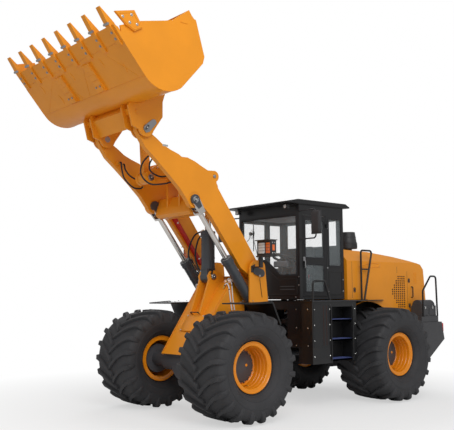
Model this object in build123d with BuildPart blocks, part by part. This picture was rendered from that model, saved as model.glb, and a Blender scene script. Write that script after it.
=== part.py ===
"""Articulated wheel loader with a Z-bar bucket linkage, raised to full height.

Millimetres. +Z is up, -Y is the travel direction, +X is the machine's left side.
The origin lies on the ground, under the articulation hitch.
Side outlines are (y, z) points, plan outlines are (x, y) points.
"""

import os
from math import atan2, cos, degrees, hypot, pi, radians, sin, sqrt, tan

from build123d import *

os.makedirs("parts", exist_ok=True)

# ---------------------------------------------------------------- driving dimensions
wheelbase = 3470
track = 2236
tyre_radius = 805
tyre_width = 960
tyre_bore = 318
rim_flange_radius = 370
rim_width = 688
hub_radius = 235
hub_face_offset = 84
run_gap = 6
pin_gap = 0.06
face_gap = 0.3

# boom, cylinders and bucket linkage: pin centres, (y, z)
boom_foot = (-850, 2220)
lift_eye = (-2100, 3290)
lift_base = (-700, 1450)
bucket_pin = (-3033, 4263)
bellcrank_pivot = (-1974, 3835)
bellcrank_top = (-1364, 3599)
bellcrank_low = (-2600, 3640)
link_top = (-2655, 4489)
tilt_base = (-1364, 2135)
strut_eye = (-1700, 3690)

arm_x = 530
arm_thickness = 90
arm_boss_width = 140
pin_radius = 48
big_pin_radius = 55
lift_base_pin_radius = 42
bellcrank_half_width = 130
bellcrank_plate = 42
link_half_width = 42

# bucket
bucket_half_width = 1430
bucket_plate = 25
heel_centre = (-3270, 5038)
heel_radius = 440
floor_angle = 49
back_angle = 48
lip_seam = 546
back_length = 490
bucket_knee = (-2587, 5211)
bucket_top = (-2741, 5719)
lip_length = 220
lip_thickness = 45
tooth_count = 8
tooth_pitch = 381.7
tooth_reach = 500

# steering
hitch_pin_radius = 45
hitch_plate = 50
hitch_rear_z = (630, 1145)
hitch_front_z = (hitch_rear_z[0] + hitch_plate + 8, hitch_rear_z[1] - hitch_plate - 8)
steer_base = (360, 720)
steer_eye = (470, -500)
steer_z = 860

# frames
axle_z = tyre_radius
front_axle_y = -wheelbase / 2
rear_axle_y = wheelbase / 2
frame_plate = 30
nose_half_width = 410
tower_outer_x = 650
tower_plate = 25
tilt_lug_in = 95
tilt_lug_out = 135

# cab and hood
cab_half_width = 760
cab_front_y = 0
cab_rear_y = 1130
cab_floor_z = 1760
cab_top_z = 3290
cab_wall = 55
roof_top_z = 3450
glass_thickness = 8
hood_half_width = 800
hood_front_y = 1165
hood_rear_y = 3470
hood_base_z = 1500
hood_wall = 12
step_outer_x = 1220
platform_z = 1740


# ---------------------------------------------------------------- helpers
def plate(outline, x_from, x_to, mode=Mode.ADD):
    """A flat plate: a (y, z) outline carried along X."""
    with BuildSketch(Plane.YZ.offset(x_from)) as face:
        with BuildLine():
            Polyline(*outline, close=True)
        make_face()
    extrude(face.sketch, amount=x_to - x_from, mode=mode)


def slab(outline, z_from, z_to, mode=Mode.ADD):
    """A level plate: an (x, y) outline carried along Z."""
    with BuildSketch(Plane.XY.offset(z_from)) as face:
        with BuildLine():
            Polyline(*outline, close=True)
        make_face()
    extrude(face.sketch, amount=z_to - z_from, mode=mode)


def block(x_from, x_to, y_from, y_to, z_from, z_to, mode=Mode.ADD):
    """A box between two corners."""
    slab([(x_from, y_from), (x_to, y_from), (x_to, y_to), (x_from, y_to)], z_from, z_to, mode)


def cross_plate(outline, y_from, y_to, mode=Mode.ADD):
    """An upright plate across the machine: an (x, z) outline carried along Y."""
    with BuildSketch(Plane.XZ.offset(-y_from)) as face:
        with BuildLine():
            Polyline(*outline, close=True)
        make_face()
    extrude(face.sketch, amount=-(y_to - y_from), mode=mode)


def disc(centre, radius, x_from, x_to, mode=Mode.ADD):
    """A cylinder along X with its centre at (y, z)."""
    with BuildSketch(Plane.YZ.offset(x_from)) as face:
        with Locations(centre):
            Circle(radius)
    extrude(face.sketch, amount=x_to - x_from, mode=mode)


def post(x, y, radius, z_from, z_to, mode=Mode.ADD):
    """A cylinder along Z."""
    with BuildSketch(Plane.XY.offset(z_from)) as face:
        with Locations((x, y)):
            Circle(radius)
    extrude(face.sketch, amount=z_to - z_from, mode=mode)


def bar(start, end, radius, mode=Mode.ADD):
    """A round bar between two points in space."""
    axis = Vector(*end) - Vector(*start)
    with BuildSketch(Plane(origin=start, z_dir=axis)) as face:
        Circle(radius)
    extrude(face.sketch, amount=axis.length, mode=mode)


def along(start, end, distance):
    """The (y, z) point at a distance from start towards end."""
    length = hypot(end[0] - start[0], end[1] - start[1])
    return tuple(start[i] + (end[i] - start[i]) * distance / length for i in (0, 1))


def distance(start, end):
    return hypot(end[0] - start[0], end[1] - start[1])


def tapered(start, start_radius, end, end_radius):
    """The four corners of the tapered web between two round eyes, in (y, z)."""
    length = distance(start, end)
    side = (-(end[1] - start[1]) / length, (end[0] - start[0]) / length)
    corners = [(start, start_radius), (end, end_radius), (end, -end_radius), (start, -start_radius)]
    return [(p[0] + side[0] * r, p[1] + side[1] * r) for p, r in corners]


def tube(points, radius, bend):
    """A bent round tube through points in space."""
    with BuildLine() as path:
        FilletPolyline(*points, radius=bend)
    start = path.line @ 0
    with BuildSketch(Plane(origin=start, z_dir=path.line % 0)) as face:
        Circle(radius)
    sweep(face.sketch, path=path.line)


def finish(builder, name):
    """Names a finished piece and writes it."""
    builder.part.label = name
    export_step(builder.part, f"parts/{name}.step")


# ---------------------------------------------------------------- wheels
wheels = [
    # name, side (+1 is left), axle position along Y
    ("front_left", 1, front_axle_y),
    ("front_right", -1, front_axle_y),
    ("rear_left", 1, rear_axle_y),
    ("rear_right", -1, rear_axle_y),
]
# tyre section: distance from the wheel's centre plane, radius
# rim section from the outer flange inwards: offset from the centre plane, radius
rim_outer = [(344, 370), (325, 370), (322, 318), (60, 300), (-40, 318), (-322, 318), (-325, 370), (-344, 370)]
hub_bore = hub_radius + pin_gap + face_gap
rim_inner = [(-335, 300), (-60, 290), (25, 283), (25, hub_bore), (60, hub_bore), (60, 255), (140, 283), (200, 287), (210, 298), (330, 303), (344, 350)]

# one tyre about its own centre: a many-sided carcass with a row of slanting lugs on each half
lug_count = 20
lug_half_width = 29
lug_slant = radians(31)
lug_middle = 235
lug_start = 25
tyre_half_width = 478
half_turn = pi / lug_count
# carcass section from the bead outwards: offset from the centre plane, radius of the corners
carcass_half = [
    (321, tyre_bore / cos(half_turn)),
    (324.7, (370 + face_gap) / cos(half_turn)),
    (tyre_half_width, 565),
    (432, 742),
]
# the farthest corner of a lug stands at the tyre's radius
lug_reach = (lug_middle - lug_start) * tan(lug_slant) + lug_half_width * cos(lug_slant)
lug_top = sqrt(tyre_radius**2 - lug_reach**2)
lug_lead = atan2(lug_reach, lug_top)
# lug outline: offset from the centre plane, height from the axle
lug_outline = [(lug_start, 690), (lug_start, lug_top), (450, 752), (450, 600)]
with BuildPart() as lugged_tyre:
    # corners of one half's rings, each half turned so that its lugs stand on its flat faces
    def ring_corner(side, ring, turn):
        offset, radius = carcass_half[ring]
        angle = 2 * half_turn * (turn + (0.5 if side < 0 else 0)) - lug_lead
        return (side * offset, radius * cos(angle), radius * sin(angle))

    skin = []
    for turn in range(lug_count):
        for side in (1, -1):
            for ring in range(len(carcass_half) - 1):
                four = [
                    ring_corner(side, ring, turn),
                    ring_corner(side, ring + 1, turn),
                    ring_corner(side, ring + 1, turn + 1),
                    ring_corner(side, ring, turn + 1),
                ]
                skin.append(Face(Wire.make_polygon(four)))
        for ring in (0, len(carcass_half) - 1):
            near = [ring_corner(1, ring, turn), ring_corner(1, ring, turn + 1), ring_corner(-1, ring, turn)]
            far = [ring_corner(-1, ring, turn), ring_corner(-1, ring, turn + 1), ring_corner(1, ring, turn + 1)]
            skin.append(Face(Wire.make_polygon(near)))
            skin.append(Face(Wire.make_polygon(far)))
    add(Solid(Shell(skin)))
    for side, shift in ((1, 0), (-1, half_turn)):
        for index in range(lug_count):
            angle = half_turn - lug_lead + shift + 2 * half_turn * index
            outward = Vector(0, cos(angle), sin(angle))
            round_the_axle = Vector(0, -sin(angle), cos(angle))
            along_lug = Vector(side * cos(lug_slant), 0, 0) - round_the_axle * sin(lug_slant)
            lug_plane = Plane((side * lug_middle, 0, 0), x_dir=along_lug, z_dir=along_lug.cross(outward))
            with BuildSketch(lug_plane) as lug:
                with BuildLine():
                    Polyline(*[((u - lug_middle) / cos(lug_slant), r) for u, r in lug_outline], close=True)
                make_face()
            extrude(lug.sketch, amount=lug_half_width, both=True, mode=Mode.ADD)

for name, side, y in wheels:
    centre_x = side * track / 2
    axis = Axis((0, y, axle_z), (1, 0, 0))
    with BuildPart() as tyre:
        with Locations((centre_x, y, axle_z)):
            add(lugged_tyre.part)
    finish(tyre, f"tyre_{name}")
    with BuildPart() as rim:
        with BuildSketch(Plane.XY.offset(axle_z)):
            with BuildLine():
                outer = [(centre_x + side * u, y + r - face_gap) for u, r in rim_outer]
                inner = [(centre_x + side * u, y + r - face_gap) for u, r in rim_inner]
                Polyline(*outer, *inner, close=True)
            make_face()
        revolve(axis=axis)
    finish(rim, f"rim_{name}")

# ---------------------------------------------------------------- axles
for name, y, nose in [("front_axle", front_axle_y, 1), ("rear_axle", rear_axle_y, -1)]:
    hub_x = track / 2 + hub_face_offset
    with BuildPart() as axle:
        disc((y, axle_z), 125, -hub_x, hub_x)
        disc((y, axle_z), 110, -hub_x - 22, hub_x + 22)
        disc((y, axle_z), 165, -560, 560)
        disc((y, axle_z), hub_radius, track / 2 - 250, hub_x)
        disc((y, axle_z), hub_radius, -hub_x, -track / 2 + 250)
        with BuildSketch(Plane.XZ.offset(-y)) as bowl:
            with Locations((0, axle_z)):
                Circle(300)
            with Locations((0, axle_z + 303)):
                Rectangle(640, 200, mode=Mode.SUBTRACT)
        extrude(bowl.sketch, amount=150, both=True)
        with BuildSketch(Plane.XZ.offset(-y)) as pinion:
            with Locations((0, axle_z)):
                Circle(120)
        extrude(pinion.sketch, amount=-nose * 330)
        for side in (1, -1):
            seat = side * 360
            block(seat - 90, seat + 90, y - 150, y + 150, axle_z + 80, axle_z + 215 - face_gap)
    finish(axle, name)

# ---------------------------------------------------------------- front frame
nose_top = (-1230, 2040)
nose_foot = (-2000, 920)
side_inner = nose_half_width - frame_plate
cheek_in = tower_outer_x - tower_plate
tower_back_y = -640
front_end_y = -485
front_side = [
    nose_foot, nose_top, (-1130, 2090), (-1035, 2250), (-1010, 2330), (-950, 2392), (-860, 2400), (-760, 2392),
    (-700, 2330), (tower_back_y, 1770), (-585, 1250), (front_end_y, 1220), (front_end_y, 600), (-1000, 620),
    (-1300, axle_z + 215), (-1892, axle_z + 215), (-1975, 905),
]
tower_cheek = [
    (-1045, 1250), (-1040, 2250), (-1010, 2330), (-950, 2392), (-860, 2400), (-760, 2392),
    (-700, 2330), (tower_back_y, 1770), (-585, 1250),
]
tower_wall = [(-655, 1900), (tower_back_y, 1770), (-585, 1250), (-600, 1250), (-655, 1770), (-670, 1900)]
tilt_lug = [
    (-1450, 2085), (-1465, 2150), (-1420, 2225), (-1340, 2240), (-1200, 2200), (-1130, 2090),
    (-1240, 2020), (-1600, 1500), (-1640, 1560),
]
front_hitch = [(-side_inner, -520), (side_inner, -520), (180, -60), (110, 70), (0, 110), (-110, 70), (-180, -60)]
with BuildPart() as front_frame:
    for side in (1, -1):
        plate(front_side, side * side_inner, side * nose_half_width)
        plate(tower_cheek, side * cheek_in, side * tower_outer_x)
        plate(tower_wall, side * nose_half_width, side * cheek_in)
        block(side * nose_half_width, side * tower_outer_x, -1045, -585, 1225, 1250)
        disc(boom_foot, big_pin_radius, side * side_inner, side * (tower_outer_x + 14))
        disc(lift_base, lift_base_pin_radius, side * side_inner, side * (tower_outer_x + 14))
        # lugs that hold the tilt cylinder's foot
        plate(tilt_lug, side * tilt_lug_in, side * tilt_lug_out)
        disc(tilt_base, pin_radius + pin_gap, side * (tilt_lug_in - 1), side * (tilt_lug_out + 1), Mode.SUBTRACT)
        # steering cylinder clevis
        eye = (side * steer_eye[0], steer_eye[1])
        for z in (steer_z - 40 - run_gap - 25, steer_z + 40 + run_gap):
            slab([(side * side_inner, -640), (side * 500, -560), (side * 500, -440), (side * side_inner, -485)], z, z + 25)
            post(*eye, 55, z, z + 25)
    # nose plate, top plate, belly and cross walls between the side plates
    nose_plate = [nose_foot, nose_top, (nose_top[0] + 30, nose_top[1]), (nose_foot[0] + 30, nose_foot[1])]
    plate(nose_plate, -side_inner, side_inner)
    plate([nose_top, (-1130, 2090), (-1130, 2060), (-1220, 2010)], -side_inner, side_inner)
    belly = [(-1892, 1020), (-1300, 1020), (-1000, 620), (-520, 612), (-520, 642), (-985, 650), (-1285, 1050), (-1880, 1050)]
    plate(belly, -side_inner, side_inner)
    block(-side_inner, side_inner, -520, -490, 600, 1230)
    block(-side_inner, side_inner, -1000, -970, 620, 2150)
    for z in hitch_front_z:
        slab(front_hitch, z, z + hitch_plate)
        post(0, 0, hitch_pin_radius + pin_gap, z - 1, z + hitch_plate + 1, Mode.SUBTRACT)
finish(front_frame, "front_frame")

with BuildPart() as front_fenders:
    for side in (1, -1):
        x0 = tower_outer_x + face_gap
        fender = [(-1620, 1700), (-1620, 1720), (-1160, 1730), (-990, 1385), (-1008, 1375), (-1172, 1712)]
        plate(fender, side * x0, side * 1300)
        plate([(-1045, 1700), (-1045, 1712), (-1160, 1712), (-1160, 1560)], side * x0, side * (x0 + 12))
finish(front_fenders, "front_fenders")

with BuildPart() as headlamps:
    for side in (1, -1):
        # mast foot on the tower, arm, lamp box and its hood
        plate([(-1010, 2200), (-1010, 2300), (-930, 2330), (-930, 2200)], side * (tower_outer_x + face_gap), side * (tower_outer_x + 14))
        block(side * (tower_outer_x + 14), side * 860, -1000, -940, 2270, 2290)
        block(side * 820, side * 860, -1000, -940, 2290, 2435)
        block(side * 790, side * 1130, -1030, -880, 2435, 2455)
        block(side * 800, side * 1120, -1010, -900, 2455, 2690)
        block(side * 790, side * 1130, -1060, -880, 2690, 2702)
finish(headlamps, "headlamps")

# ---------------------------------------------------------------- boom
arm_in = arm_x - arm_thickness / 2
arm_out = arm_x + arm_thickness / 2
boss_in = arm_x - arm_boss_width / 2
boss_out = arm_x + arm_boss_width / 2
arm_outline = [
    # lower edge from the tip back to the foot
    (-3135, 4175), (-3006, 3990), (-2801, 3823), (-2576, 3629), (-2361, 3430), (-2215, 3250), (-2060, 3172),
    (-1907, 3180), (-1780, 3072), (-1458, 2663), (-1164, 2273), (-955, 2140),
    # upper edge from the foot to the tip
    (-745, 2297), (-1640, 3530), (-1700, 3778), (-1830, 3770), (-1981, 3834), (-2083, 3882), (-2232, 3928),
    (-2340, 3925), (-2400, 3960), (-2550, 4008), (-2690, 4067), (-2800, 4144), (-2910, 4210),
]
crossbeam = [(-2010, 3400), (-2075, 3240), (-2105, 3130), (-2050, 3085), (-1840, 3085), (-1780, 3150), (-1885, 3370), (-1930, 3425)]
crossbeam_end = [(-1985, 3405), (-1990, 3350), (-1815, 3115), (-1780, 3150), (-1885, 3370), (-1930, 3425)]
pivot_lug = [(-2085, 3800), (-2075, 3235), (-1880, 3300), (-1862, 3800)]
with BuildPart() as boom:
    for side in (1, -1):
        plate(arm_outline, side * arm_in, side * arm_out)
        disc(bucket_pin, 135, side * arm_in, side * arm_out)
        disc(bucket_pin, 100, side * boss_in, side * boss_out)
        disc(lift_eye, 122, side * arm_in, side * arm_out)
        disc(strut_eye, 88, side * arm_in, side * arm_out)
        disc(boom_foot, 130, side * arm_in, side * arm_out)
        disc(boom_foot, 115, side * (nose_half_width + run_gap), side * (tower_outer_x - tower_plate - run_gap))
        lug_in = bellcrank_half_width + run_gap
        plate(pivot_lug, side * lug_in, side * (lug_in + 40))
        disc(bellcrank_pivot, 112, side * lug_in, side * (lug_in + 40))
    plate(crossbeam, -arm_in + 46, arm_in - 46)
    plate(crossbeam_end, -arm_in, arm_in)
    for side in (1, -1):
        disc(bucket_pin, pin_radius + pin_gap, side * (boss_in - 1), side * (boss_out + 1), Mode.SUBTRACT)
        disc(boom_foot, big_pin_radius + pin_gap, side * (nose_half_width - 1), side * tower_outer_x, Mode.SUBTRACT)
        disc(bellcrank_pivot, pin_radius + pin_gap, side * (lug_in - 1), side * (lug_in + 41), Mode.SUBTRACT)
        disc(strut_eye, 30, side * (arm_in - 1), side * (arm_out + 1), Mode.SUBTRACT)
finish(boom, "boom")

# safety strut for the lift cylinder, stowed inside the right arm
with BuildPart() as boom_strut:
    strut_x = -(arm_in - face_gap)
    strut_top = (-1715, 3119)
    strut_foot = (-1130, 2365)
    plate(tapered(strut_top, 36, strut_foot, 36), strut_x, strut_x + 12)
    plate(tapered(strut_top, 36, strut_foot, 24), strut_x, strut_x + 48)
finish(boom_strut, "boom_safety_strut")

# ---------------------------------------------------------------- bellcrank, link and their pins
bc_out = bellcrank_half_width
bc_in = bellcrank_half_width - bellcrank_plate
bellcrank_outline = [
    (-2690, 3690), (-2480, 3850), (-2230, 3935), (-1974, 3955), (-1750, 3890), (-1330, 3695),
    (-1400, 3503), (-1780, 3660), (-1974, 3715), (-2230, 3680), (-2390, 3650), (-2545, 3553),
]
with BuildPart() as bellcrank:
    for side in (1, -1):
        plate(bellcrank_outline, side * bc_in, side * bc_out)
        disc(bellcrank_low, 103, side * bc_in, side * bc_out)
        disc(bellcrank_top, 103, side * bc_in, side * bc_out)
    disc(bellcrank_pivot, 118, -bc_out, bc_out)
    # caps on the open cylinder pin and on the open link pin
    for side in (1, -1):
        disc(bellcrank_top, 55, side * bc_out, side * (bc_out + 12))
        disc(bellcrank_low, 55, side * bc_out, side * (bc_out + 12))
    disc(bellcrank_pivot, pin_radius + pin_gap, -bc_out - 1, bc_out + 1, Mode.SUBTRACT)
finish(bellcrank, "bellcrank")

with BuildPart() as bellcrank_pin:
    disc(bellcrank_pivot, pin_radius, -bc_out - run_gap - 45, bc_out + run_gap + 45)
finish(bellcrank_pin, "bellcrank_pin")

with BuildPart() as link_pin:
    disc(link_top, pin_radius, -bc_out - 12, bc_out + 12)
finish(link_pin, "link_pin")

link_eye_half = bc_in - run_gap
with BuildPart() as tilt_link:
    plate(tapered(bellcrank_low, 60, link_top, 60), -link_half_width, link_half_width)
    disc(bellcrank_low, 95, -link_eye_half, link_eye_half)
    disc(link_top, 88, -link_eye_half, link_eye_half)
    disc(link_top, pin_radius + pin_gap, -link_eye_half - 1, link_eye_half + 1, Mode.SUBTRACT)
finish(tilt_link, "tilt_link")

# ---------------------------------------------------------------- cylinders
lift_barrel_radius = 85
lift_rod_radius = 40
lift_barrel_length = 1215
lift_rod_end = 250
lift_yoke = 34
lift_stroke = 838
rod_engagement = 200
for name, side in (("left", 1), ("right", -1)):
    x = side * arm_x
    lift_length = distance(lift_base, lift_eye)
    gland = along(lift_base, lift_eye, lift_barrel_length)
    start = along(lift_base, lift_eye, 100)
    with BuildPart() as barrel:
        bar((x, *start), (x, *gland), lift_barrel_radius)
        bar((x, *along(lift_base, lift_eye, lift_barrel_length - 70)), (x, *gland), lift_barrel_radius + 8)
        disc(lift_base, 72, side * (arm_x - 65), side * (arm_x + 65))
        bar((x, *along(lift_base, lift_eye, 45)), (x, *start), 60)
        bar((x, *along(lift_base, lift_eye, lift_barrel_length - rod_engagement - lift_stroke - 15)), (x, *along(lift_base, lift_eye, lift_barrel_length + 1)), lift_rod_radius + pin_gap, Mode.SUBTRACT)
        disc(lift_base, lift_base_pin_radius + pin_gap, side * (arm_x - 90), side * (arm_x + 90), Mode.SUBTRACT)
    finish(barrel, f"lift_barrel_{name}")
    fork_in = arm_thickness / 2 + run_gap
    fork_out = fork_in + 32
    root = along(lift_eye, lift_base, lift_rod_end)
    with BuildPart() as rod:
        bar((x, *along(lift_base, lift_eye, lift_barrel_length - rod_engagement)), (x, *root), lift_rod_radius)
        for cheek in (-1, 1):
            inner = x + cheek * fork_in
            outer = x + cheek * fork_out
            plate(tapered(lift_eye, 78, root, 50), inner, outer)
            disc(lift_eye, 78, inner, outer)
        plate(tapered(along(lift_eye, lift_base, lift_rod_end - lift_yoke), 50, root, 50), x - fork_out, x + fork_out)
        disc(lift_eye, 50, side * (arm_x + fork_out), side * (arm_x + fork_out + 7))
    finish(rod, f"lift_rod_{name}")

tilt_barrel_radius = 110
tilt_rod_radius = 50
tilt_barrel_length = 740
tilt_gland = along(tilt_base, bellcrank_top, tilt_barrel_length)
with BuildPart() as tilt_base_pin:
    disc(tilt_base, pin_radius, -135 - 14, 135 + 14)
finish(tilt_base_pin, "tilt_base_pin")
with BuildPart() as tilt_barrel:
    bar((0, *along(tilt_base, bellcrank_top, 130)), (0, *tilt_gland), tilt_barrel_radius)
    bar((0, *along(tilt_base, bellcrank_top, tilt_barrel_length - 70)), (0, *tilt_gland), tilt_barrel_radius + 10)
    plate(tapered(tilt_base, 85, along(tilt_base, bellcrank_top, 150), 85), -80, 80)
    disc(tilt_base, 95, -88, 88)
    bar((0, *along(tilt_base, bellcrank_top, 190)), (0, *along(tilt_base, bellcrank_top, tilt_barrel_length + 1)), tilt_rod_radius + pin_gap, Mode.SUBTRACT)
    disc(tilt_base, pin_radius + pin_gap, -90, 90, Mode.SUBTRACT)
finish(tilt_barrel, "tilt_barrel")
with BuildPart() as tilt_rod:
    tilt_length = distance(tilt_base, bellcrank_top)
    bar((0, *along(tilt_base, bellcrank_top, tilt_barrel_length - 220)), (0, *along(tilt_base, bellcrank_top, tilt_length - 60)), tilt_rod_radius)
    disc(bellcrank_top, 88, -bc_in + run_gap, bc_in - run_gap)
finish(tilt_rod, "tilt_rod")

# steering cylinders, level, one each side of the hitch
steer_barrel_length = 700
for name, side in (("left", 1), ("right", -1)):
    base = (side * steer_base[0], steer_base[1])
    eye = (side * steer_eye[0], steer_eye[1])
    steer_length = distance(base, eye)
    with BuildPart() as steer_barrel:
        bar((*along(base, eye, 34), steer_z), (*along(base, eye, 90), steer_z), 36)
        bar((*along(base, eye, 80), steer_z), (*along(base, eye, steer_barrel_length), steer_z), 52)
        post(*base, 60, steer_z - 40, steer_z + 40)
        bar((*along(base, eye, 200), steer_z), (*along(base, eye, steer_barrel_length + 1), steer_z), 25 + pin_gap, Mode.SUBTRACT)
        post(*base, 30 + pin_gap, steer_z - 41, steer_z + 41, Mode.SUBTRACT)
    finish(steer_barrel, f"steer_barrel_{name}")
    with BuildPart() as steer_rod:
        bar((*along(base, eye, steer_barrel_length - 120), steer_z), (*along(base, eye, steer_length - 40), steer_z), 25)
        post(*eye, 42, steer_z - 40, steer_z + 40)
    finish(steer_rod, f"steer_rod_{name}")

# ---------------------------------------------------------------- bucket
def bucket_profile(inset):
    """The bucket's section moved inwards by a wall: lip seam, heel arc, back, knee and top edge."""
    turn = radians(floor_angle)
    slope = radians(back_angle)
    radius = heel_radius - inset
    y, z = heel_centre
    floor_end = (y - sin(turn) * radius, z - cos(turn) * radius)
    lip = (floor_end[0] - cos(turn) * lip_seam, floor_end[1] + sin(turn) * lip_seam)
    bottom = (y, z - radius)
    back_start = (y + sin(slope) * radius, z - cos(slope) * radius)
    rise = back_length - 0.24 * inset
    back_end = (back_start[0] + cos(slope) * rise, back_start[1] + sin(slope) * rise)
    knee = (bucket_knee[0] - 1.04 * inset, bucket_knee[1])
    top = (bucket_top[0] - 0.96 * inset, bucket_top[1] - 0.29 * inset)
    return lip, floor_end, bottom, back_start, back_end, knee, top


lip, floor_end, heel_bottom, back_start, back_end, knee, back_top = bucket_profile(0)
floor_dir = (-cos(radians(floor_angle)), sin(radians(floor_angle)))
floor_up = (sin(radians(floor_angle)), cos(radians(floor_angle)))


def on_floor(forward, above):
    """A (y, z) point measured from the lip seam, forward along the floor and above it."""
    return tuple(lip[i] + floor_dir[i] * forward + floor_up[i] * above for i in (0, 1))


wear_x = 400
wear_half_width = 95
wear_depth = 34
side_top = [(-2795, 5728), (-3264, 5583), (-3700, 5470), on_floor(lip_length - 60, 90)]
guard = [(-2741, 5719), (-2866, 5834), (-2884, 5815), (-2780, 5700)]
with BuildPart() as bucket:
    with BuildSketch(Plane.YZ.offset(-bucket_half_width)) as shell_face:
        with BuildLine():
            Line(lip, floor_end)
            ThreePointArc(floor_end, heel_bottom, back_start)
            Polyline(back_start, back_end, knee, back_top, *side_top, lip)
        make_face()
    extrude(shell_face.sketch, amount=2 * bucket_half_width)
    i_lip, i_floor, i_bottom, i_back, i_end, i_knee, i_top = bucket_profile(bucket_plate)
    beyond = (i_lip[0] + floor_dir[0] * 600, i_lip[1] + floor_dir[1] * 600)
    cavity_x = bucket_half_width - bucket_plate
    with BuildSketch(Plane.YZ.offset(-cavity_x)) as cavity_face:
        with BuildLine():
            Line(beyond, i_floor)
            ThreePointArc(i_floor, i_bottom, i_back)
            Polyline(i_back, i_end, i_knee, i_top, (-2880, 6100), beyond)
        make_face()
    extrude(cavity_face.sketch, amount=2 * cavity_x, mode=Mode.SUBTRACT)
    # cutting edge plate
    edge = [on_floor(-260, -1), on_floor(lip_length, -1), on_floor(lip_length, 14), on_floor(lip_length - 60, lip_thickness), on_floor(-260, lip_thickness)]
    plate(edge, -bucket_half_width, bucket_half_width)
    plate(guard, -bucket_half_width + 20, bucket_half_width - 20)
    for side in (1, -1):
        # gusset of the spill guard and the side cutter
        plate([(-2790, 5728), (-2866, 5834), (-3170, 5608)], side * (bucket_half_width - 20), side * bucket_half_width)
        cutter = [(-4100, 5500), (-3800, 5585), (-3660, 5380), (-3790, 5300), (-3930, 5360)]
        plate(cutter, side * bucket_half_width, side * (bucket_half_width + 30))
        # wear box under the floor and its pad at the heel end
        wear_box = [on_floor(-80, 2), on_floor(-95, -wear_depth), on_floor(15 - lip_seam, -wear_depth), on_floor(-lip_seam, 2)]
        plate(wear_box, side * (wear_x - wear_half_width), side * (wear_x + wear_half_width))
        pad = [on_floor(110 - lip_seam, 2 - wear_depth), on_floor(105 - lip_seam, -wear_depth - 14), on_floor(25 - lip_seam, -wear_depth - 14), on_floor(20 - lip_seam, 2 - wear_depth)]
        plate(pad, side * (wear_x - wear_half_width + 15), side * (wear_x + wear_half_width - 15))
finish(bucket, "bucket")

with BuildPart() as bucket_teeth:
    for index in range(tooth_count):
        x = (index - (tooth_count - 1) / 2) * tooth_pitch
        shank = [on_floor(-60, -1 - 22), on_floor(-60, -1), on_floor(lip_length, -1), on_floor(lip_length, 14), on_floor(lip_length - 40, lip_thickness), on_floor(60, lip_thickness), on_floor(60, lip_thickness + 26), on_floor(lip_length + 20, lip_thickness + 18), on_floor(lip_length + 60, 20), on_floor(lip_length + 20, -26)]
        plate(shank, x - 45, x + 45)
        point = [on_floor(lip_length + 15, -32), on_floor(tooth_reach, 0), on_floor(tooth_reach, 12), on_floor(lip_length + 15, 66)]
        plate(point, x - 42, x + 42)
finish(bucket_teeth, "bucket_teeth")

# coupler between the boom and the bucket
plate_sets = [
    # inner face, outer face of each coupler plate, measured from the centre line
    (boss_in - run_gap - 32, boss_in - run_gap),
    (boss_out + run_gap, boss_out + run_gap + 30),
]
back_point = along(back_start, back_end, 0.75 * back_length)
with BuildPart() as coupler:
    for side in (1, -1):
        for inner, outer in plate_sets:
            cheek = [(-3160, 4225), (-3275, 4262), (-3350, 4545), (-3270, 4700), (-2900, 5000), back_point, (-2676, 4900), (-2744, 4690), (-2744, 4462), (-2915, 4215)]
            plate(cheek, side * inner, side * outer)
            disc(bucket_pin, 132, side * inner, side * outer)
        lug = [(-3240, 4500), (-3120, 4560), (-2740, 4720), (-2580, 4560), (-2570, 4440), (-2680, 4395), (-3110, 4440)]
        plate(lug, side * bc_in, side * bc_out)
        disc(link_top, 95, side * bc_in, side * bc_out)
    box_beam = [(-3300, 4500), (-3180, 4262), (-3150, 4275), (-3110, 4430), (-3120, 4640), (-3200, 4640)]
    plate(box_beam, -plate_sets[0][1], plate_sets[0][1])
    tie = [(-3290, 4520), (-3255, 4440), (-3120, 4440), (-3125, 4640), (-3200, 4640)]
    plate(tie, -plate_sets[1][1], plate_sets[1][1])
    # hooks and latch pin, outside, and the bores of the pins
    for side in (1, -1):
        disc(link_top, pin_radius + pin_gap, side * (bc_in - 1), side * (bc_out + 1), Mode.SUBTRACT)
        disc((-3192, 4480), 32, side * plate_sets[1][1], side * (plate_sets[1][1] + 10))
        for inner, outer in plate_sets:
            disc(bucket_pin, pin_radius + pin_gap, side * (inner - 1), side * (outer + 1), Mode.SUBTRACT)
    # the shell of the bucket keeps its place
    with BuildSketch(Plane.YZ.offset(-bucket_half_width)) as shell_cut:
        with BuildLine():
            o_lip, o_floor, o_bottom, o_back, o_end, o_knee, o_top = bucket_profile(-face_gap)
            Line(o_lip, o_floor)
            ThreePointArc(o_floor, o_bottom, o_back)
            Polyline(o_back, o_end, o_knee, o_top, (-3700, 5470), o_lip)
        make_face()
    extrude(shell_cut.sketch, amount=2 * bucket_half_width, mode=Mode.SUBTRACT)
finish(coupler, "coupler")

with BuildPart() as bucket_pins:
    for side in (1, -1):
        outer = plate_sets[1][1]
        disc(bucket_pin, pin_radius, side * plate_sets[0][0], side * (outer + 14))
        plate([(-3075, 4285), (-3090, 4235), (-3045, 4185), (-2985, 4205), (-2860, 4350), (-2880, 4400), (-2930, 4400)], side * (outer + 1), side * (outer + 14))
finish(bucket_pins, "bucket_pins")

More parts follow.
